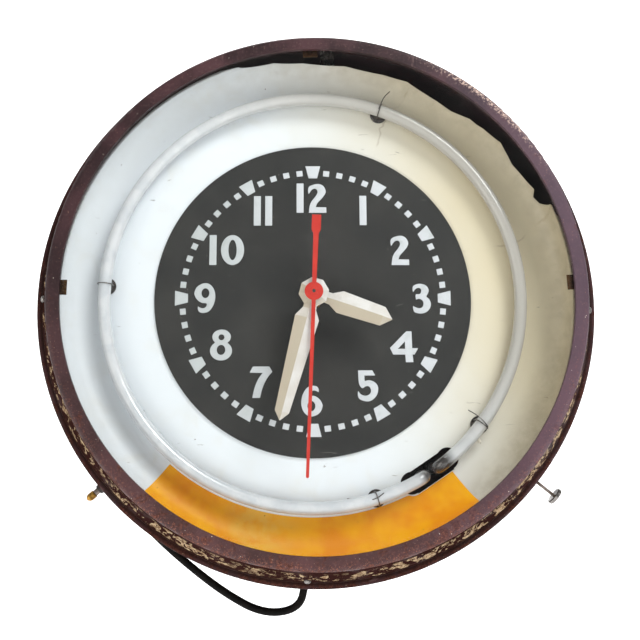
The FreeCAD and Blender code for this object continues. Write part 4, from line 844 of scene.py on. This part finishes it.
def minute_track():
    """Sixty marks round the edge of the dial, a wedge at each hour and a square between."""
    outlines = []
    for minute in range(60):
        middle, inner, outer, tall = TRACK["square" if minute % 5 else "wedge"]
        turn = math.radians(90 - minute * 6)
        out = Vector((math.cos(turn), math.sin(turn)))
        side = Vector((-out.y, out.x))
        near, far = out * (middle - tall / 2), out * (middle + tall / 2)
        narrow, wide = side * inner / 2, side * outer / 2
        corners = (near - narrow, far - wide, far + wide, near + narrow)
        outlines.append([tuple(corner) for corner in corners])
    printed("minute_track", outlines, "figure_paint")


# ---------------------------------------------------------------- yellow panel

# The panel's stretch in degrees and its radii in mm.
PANEL_START, PANEL_STOP = 229.5, 308.2
PANEL_INNER, PANEL_OUTER = 206.4, 240.7
# Where the panel laps over the pan's lip: radius from the case's axis and level in mm, then how
# far its skin faces inwards and forwards.
PANEL_LIP = ((241.1, 139.0, 1.0, 0.0), (241.1, 140.0, 0.7, 0.7), (243.2, 140.0, 0.0, 1.0))
PANEL_TURNS, PANEL_ROWS = 110, 26
PANEL_LIFT, PANEL_THICK = 0.10, 0.16
PANEL_TRIM = 0.1
PROBE_LEVEL = 160
SLOT_ANGLE, SLOT_HALF_LENGTH, SLOT_EDGE = -56.6, 20.5, 10.9


def in_slot(radius, angle):
    """True where the slot for the ends of the tube opens the reflector."""
    turn = math.radians(angle - SLOT_ANGLE)
    across, out = radius * math.sin(turn), radius * math.cos(turn) - TUBE_RADIUS
    beyond = max(abs(across) - SLOT_HALF_LENGTH, 0.0)
    return math.hypot(beyond, out) < SLOT_EDGE


def panel_rows(angle):
    """The radii from the dial's axis of one row of points, out to the rim."""
    inner = PANEL_INNER
    while in_slot(inner, angle):
        inner += PANEL_TRIM
    turn = math.radians(angle)
    offset = DIAL_X / MM * math.cos(turn) + DIAL_Z / MM * math.sin(turn)
    outer = PANEL_OUTER - offset
    shares = [math.sin(math.pi / 2 * row / PANEL_ROWS) for row in range(PANEL_ROWS + 1)]
    return [inner + (outer - inner) * share for share in shares]


def yellow_panel():
    """The painted field along the foot of the reflector, lying on its curved rim."""
    pan = NODES["reflector"].data
    tree = BVHTree.FromPolygons([v.co for v in pan.vertices], [p.vertices for p in pan.polygons])
    work = bmesh.new()
    rings = []
    for step in range(PANEL_TURNS + 1):
        angle = PANEL_START + (PANEL_STOP - PANEL_START) * step / PANEL_TURNS
        front, back = [], []
        for radius in panel_rows(angle):
            probe = round_dial(radius, angle, PROBE_LEVEL)
            place, normal, _, _ = tree.ray_cast(probe, Vector((0, 1, 0)))
            front.append(work.verts.new(place + normal * (PANEL_LIFT + PANEL_THICK) * MM))
            back.append(work.verts.new(place + normal * PANEL_LIFT * MM))
        out = Vector((place.x, 0, place.z)).normalized()
        for radius, level, inwards, forwards in PANEL_LIP:
            place = Vector((out.x * radius * MM, -level * MM, out.z * radius * MM))
            normal = Vector((-out.x * inwards, -forwards, -out.z * inwards))
            front.append(work.verts.new(place + normal * (PANEL_LIFT + PANEL_THICK) * MM))
            back.append(work.verts.new(place + normal * PANEL_LIFT * MM))
        rings.append(front + back[::-1])
    skin(work, rings)
    work.faces.new(rings[0])
    work.faces.new(rings[-1])
    add_piece("yellow_panel", finished(work, "yellow_panel"), "panel_paint")


# ---------------------------------------------------------------- wires


WIRE_CUTS = 3


def wire(name, points, radius, finish, resolution=3):
    """A bent wire through points in metres, rounded at its bends."""
    path = [tuple(point) for point in points]
    ends = (path[0], path[-1])
    smooth = path
    for _ in range(WIRE_CUTS):
        smoother = [ends[0]]
        for first, second in zip(smooth, smooth[1:]):
            smoother.append(tuple(a + (b - a) * CUT for a, b in zip(first, second)))
            smoother.append(tuple(a + (b - a) * (1 - CUT) for a, b in zip(first, second)))
        smooth = smoother + [ends[1]]
    mesh = clean(curve_mesh(name, [smooth], False, 0.0, radius, resolution))
    return add_piece(name, mesh, finish)


WIRE_RADIUS = 0.00045
# Each tail's bends in mm across, up and forward of the wall, from the dial's axis.
TIE_TAILS = {
    "tie_tail_upper": [
        (64.4, 185.6, 137.0), (66.5, 190.5, 138.6), (70.0, 198.0, 138.0), (76.0, 205.0, 134.0),
    ],
    "tie_tail_lower": [
        (31.0, -189.5, 118.6), (40.0, -190.5, 124.0), (50.0, -191.0, 134.5), (57.5, -188.5, 137.5),
        (63.5, -184.0, 136.0),
    ],
    "tie_tail_side": [
        (144.5, -108.5, 129.0), (150.0, -113.0, 137.0), (156.5, -119.0, 138.8),
        (161.5, -124.5, 134.0),
    ],
}


def loose_wires():
    """The tails left where the tube was tied down."""
    for name, places in TIE_TAILS.items():
        wire(name, [on_dial(*place) for place in places], WIRE_RADIUS, "steel")


# The cord's way in mm across, up and forward of the wall, from the case's axis.
CORD_WAY = [
    (-11.1, -235.7, 80), (-12.2, -268.0, 80), (-18.5, -291.5, 80), (-52.0, -296.0, 80),
    (-89.4, -276.4, 80), (-130.3, -245.4, 80), (-165.9, -216.2, 66), (-178.1, -204.9, 40),
    (-177.5, -204.2, 16), (-134.5, -154.7, 14),
]
CORD_RADIUS = 0.0037


def soft_cord():
    """The mains cord as one limp sweep along its way out of the case and back in behind."""
    points = [Vector((across * MM, -level * MM, up * MM)) for across, up, level in CORD_WAY]
    cord = wire("mains_cord", points, CORD_RADIUS, "rubber", resolution=6)
    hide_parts("power_cord")


# The seal's base on the tube and a place it points at, as radius, angle and level on the dial,
# and its outline as radius and distance from the base in mm.
SEAL_BASE, SEAL_AIM = (203.0, -41.5, 128.0), (210.0, -41.7, 124.0)
SEAL_PROFILE = [(2.4, 0.0), (2.3, 1.2), (1.7, 2.4), (1.5, 3.4), (1.9, 4.6), (1.6, 5.8), (0.8, 6.8)]
SEAL_LENGTH = 7.2
SEAL_TURNS = 24


def seal_tip():
    """The little drop of glass where the tube was pumped out and sealed."""
    base = round_dial(*SEAL_BASE)
    out = (round_dial(*SEAL_AIM) - base).normalized()
    work = bmesh.new()
    rings = []
    turns = [math.tau * step / SEAL_TURNS for step in range(SEAL_TURNS)]
    for radius, along in SEAL_PROFILE:
        ring = [(radius * math.cos(turn), radius * math.sin(turn), along) for turn in turns]
        rings.append([work.verts.new(Vector(place) * MM) for place in ring])
    skin(work, rings)
    tip = work.verts.new((0, 0, SEAL_LENGTH * MM))
    for index in range(SEAL_TURNS):
        work.faces.new((rings[-1][index], rings[-1][(index + 1) % SEAL_TURNS], tip))
    work.faces.new(rings[0])
    mesh = finished(work, "seal_tip")
    turn = out.to_track_quat("Z", "Y").to_matrix().to_4x4()
    mesh.transform(Matrix.Translation(base) @ turn)
    add_piece("seal_tip", mesh, "porcelain")


# ---------------------------------------------------------------- surroundings

PALE = srgb(246, 246, 246)
FLOOR_Z = -0.62
WALL_Y = 1.75
BACKDROP_REACH = 6.0
CURVE_RADIUS = 0.6
CURVE_STEPS = 12


def studio_finish():
    """White card that glows a little, so that it stays pale in its own shadow."""
    f = Finish("studio_white")
    colour = f.mix(f.noise(400, 3), PALE, srgb(240, 240, 241))
    glow = {"Emission_Color": PALE, "Emission_Strength": 0.64}
    return f.done(colour, f.band(f.noise(60, 3), 0.3, 0.7, 0.75, 0.85), **glow)


def backdrop():
    """A pale floor that curves up into a pale wall behind the clock."""
    side = [(-BACKDROP_REACH, FLOOR_Z)]
    for step in range(CURVE_STEPS + 1):
        turn = math.radians(90 * step / CURVE_STEPS)
        along = WALL_Y - CURVE_RADIUS + CURVE_RADIUS * math.sin(turn)
        side.append((along, FLOOR_Z + CURVE_RADIUS * (1 - math.cos(turn))))
    side.append((WALL_Y, BACKDROP_REACH))
    verts = [(x, along, up) for along, up in side for x in (-BACKDROP_REACH, BACKDROP_REACH)]
    faces = [(i * 2, i * 2 + 1, i * 2 + 3, i * 2 + 2) for i in range(len(side) - 1)]
    mesh = bpy.data.meshes.new("studio_backdrop")
    mesh.from_pydata(verts, [], faces)
    mesh.shade_smooth()
    mesh.materials.append(studio_finish())
    stand = bpy.data.objects.new("studio_backdrop", mesh)
    bpy.context.scene.collection.objects.link(stand)


LAMP_AIM = Vector((0.0, -0.08, 0.0))


def lamp(name, place, size, power, colour):
    """A round soft lamp aimed at the middle of the clock."""
    light = bpy.data.lights.new(name, "AREA")
    light.shape = "DISK"
    light.size = size
    light.energy = power
    light.color = colour
    holder = bpy.data.objects.new(name, light)
    holder.location = place
    holder.rotation_euler = (LAMP_AIM - Vector(place)).to_track_quat("-Z", "Y").to_euler()
    bpy.context.scene.collection.objects.link(holder)


ROOM_STRENGTH = 0.37
SEEN_STRENGTH = 0.95


def studio_light():
    """A pale room that lights dimly but looks bright, a window to the upper right and two fills."""
    world = bpy.data.worlds.new("studio")
    world.use_nodes = True
    bpy.context.scene.world = world
    nodes, links = world.node_tree.nodes, world.node_tree.links
    nodes["Background"].inputs["Color"].default_value = (0.97, 0.98, 1.0, 1.0)
    strength = nodes.new("ShaderNodeMapRange")
    strength.inputs["To Min"].default_value = ROOM_STRENGTH
    strength.inputs["To Max"].default_value = SEEN_STRENGTH
    links.new(nodes.new("ShaderNodeLightPath").outputs["Is Camera Ray"], strength.inputs["Value"])
    links.new(strength.outputs["Result"], nodes["Background"].inputs["Strength"])
    lamp("window_light", (1.1, -1.5, 1.5), 1.2, 43, (0.97, 0.985, 1.0))
    lamp("room_light", (-1.7, -1.3, -0.1), 1.4, 12, (1.0, 0.97, 0.93))
    lamp("back_light", (-0.4, 0.9, 2.0), 1.2, 32, (1.0, 0.98, 0.96))
    bpy.context.scene.view_settings.view_transform = "Standard"


CAMERA_PLACE = (-0.0200, -0.9698, -0.1657)
CAMERA_YAW, CAMERA_PITCH, CAMERA_ROLL = -1.47, 9.74, 0.30
CAMERA_LENS = 50.625


def add_camera():
    """The camera, below the middle of the clock and looking slightly up at it."""
    data = bpy.data.cameras.new("camera")
    data.sensor_width = 36.0
    data.lens = CAMERA_LENS
    data.clip_start = 0.01
    camera = bpy.data.objects.new("camera", data)
    yaw = Matrix.Rotation(math.radians(CAMERA_YAW), 4, "Z")
    pitch = Matrix.Rotation(math.radians(CAMERA_PITCH), 4, "X")
    roll = Matrix.Rotation(math.radians(CAMERA_ROLL), 4, "Y")
    camera.matrix_world = Matrix.Translation(CAMERA_PLACE) @ yaw @ pitch @ roll @ FACING
    bpy.context.scene.collection.objects.link(camera)
    bpy.context.scene.camera = camera


dress_cad_nodes()
smooth_surface("reflector")
dial_figures()
minute_track()
yellow_panel()
loose_wires()
soft_cord()
seal_tip()
backdrop()
studio_light()
add_camera()
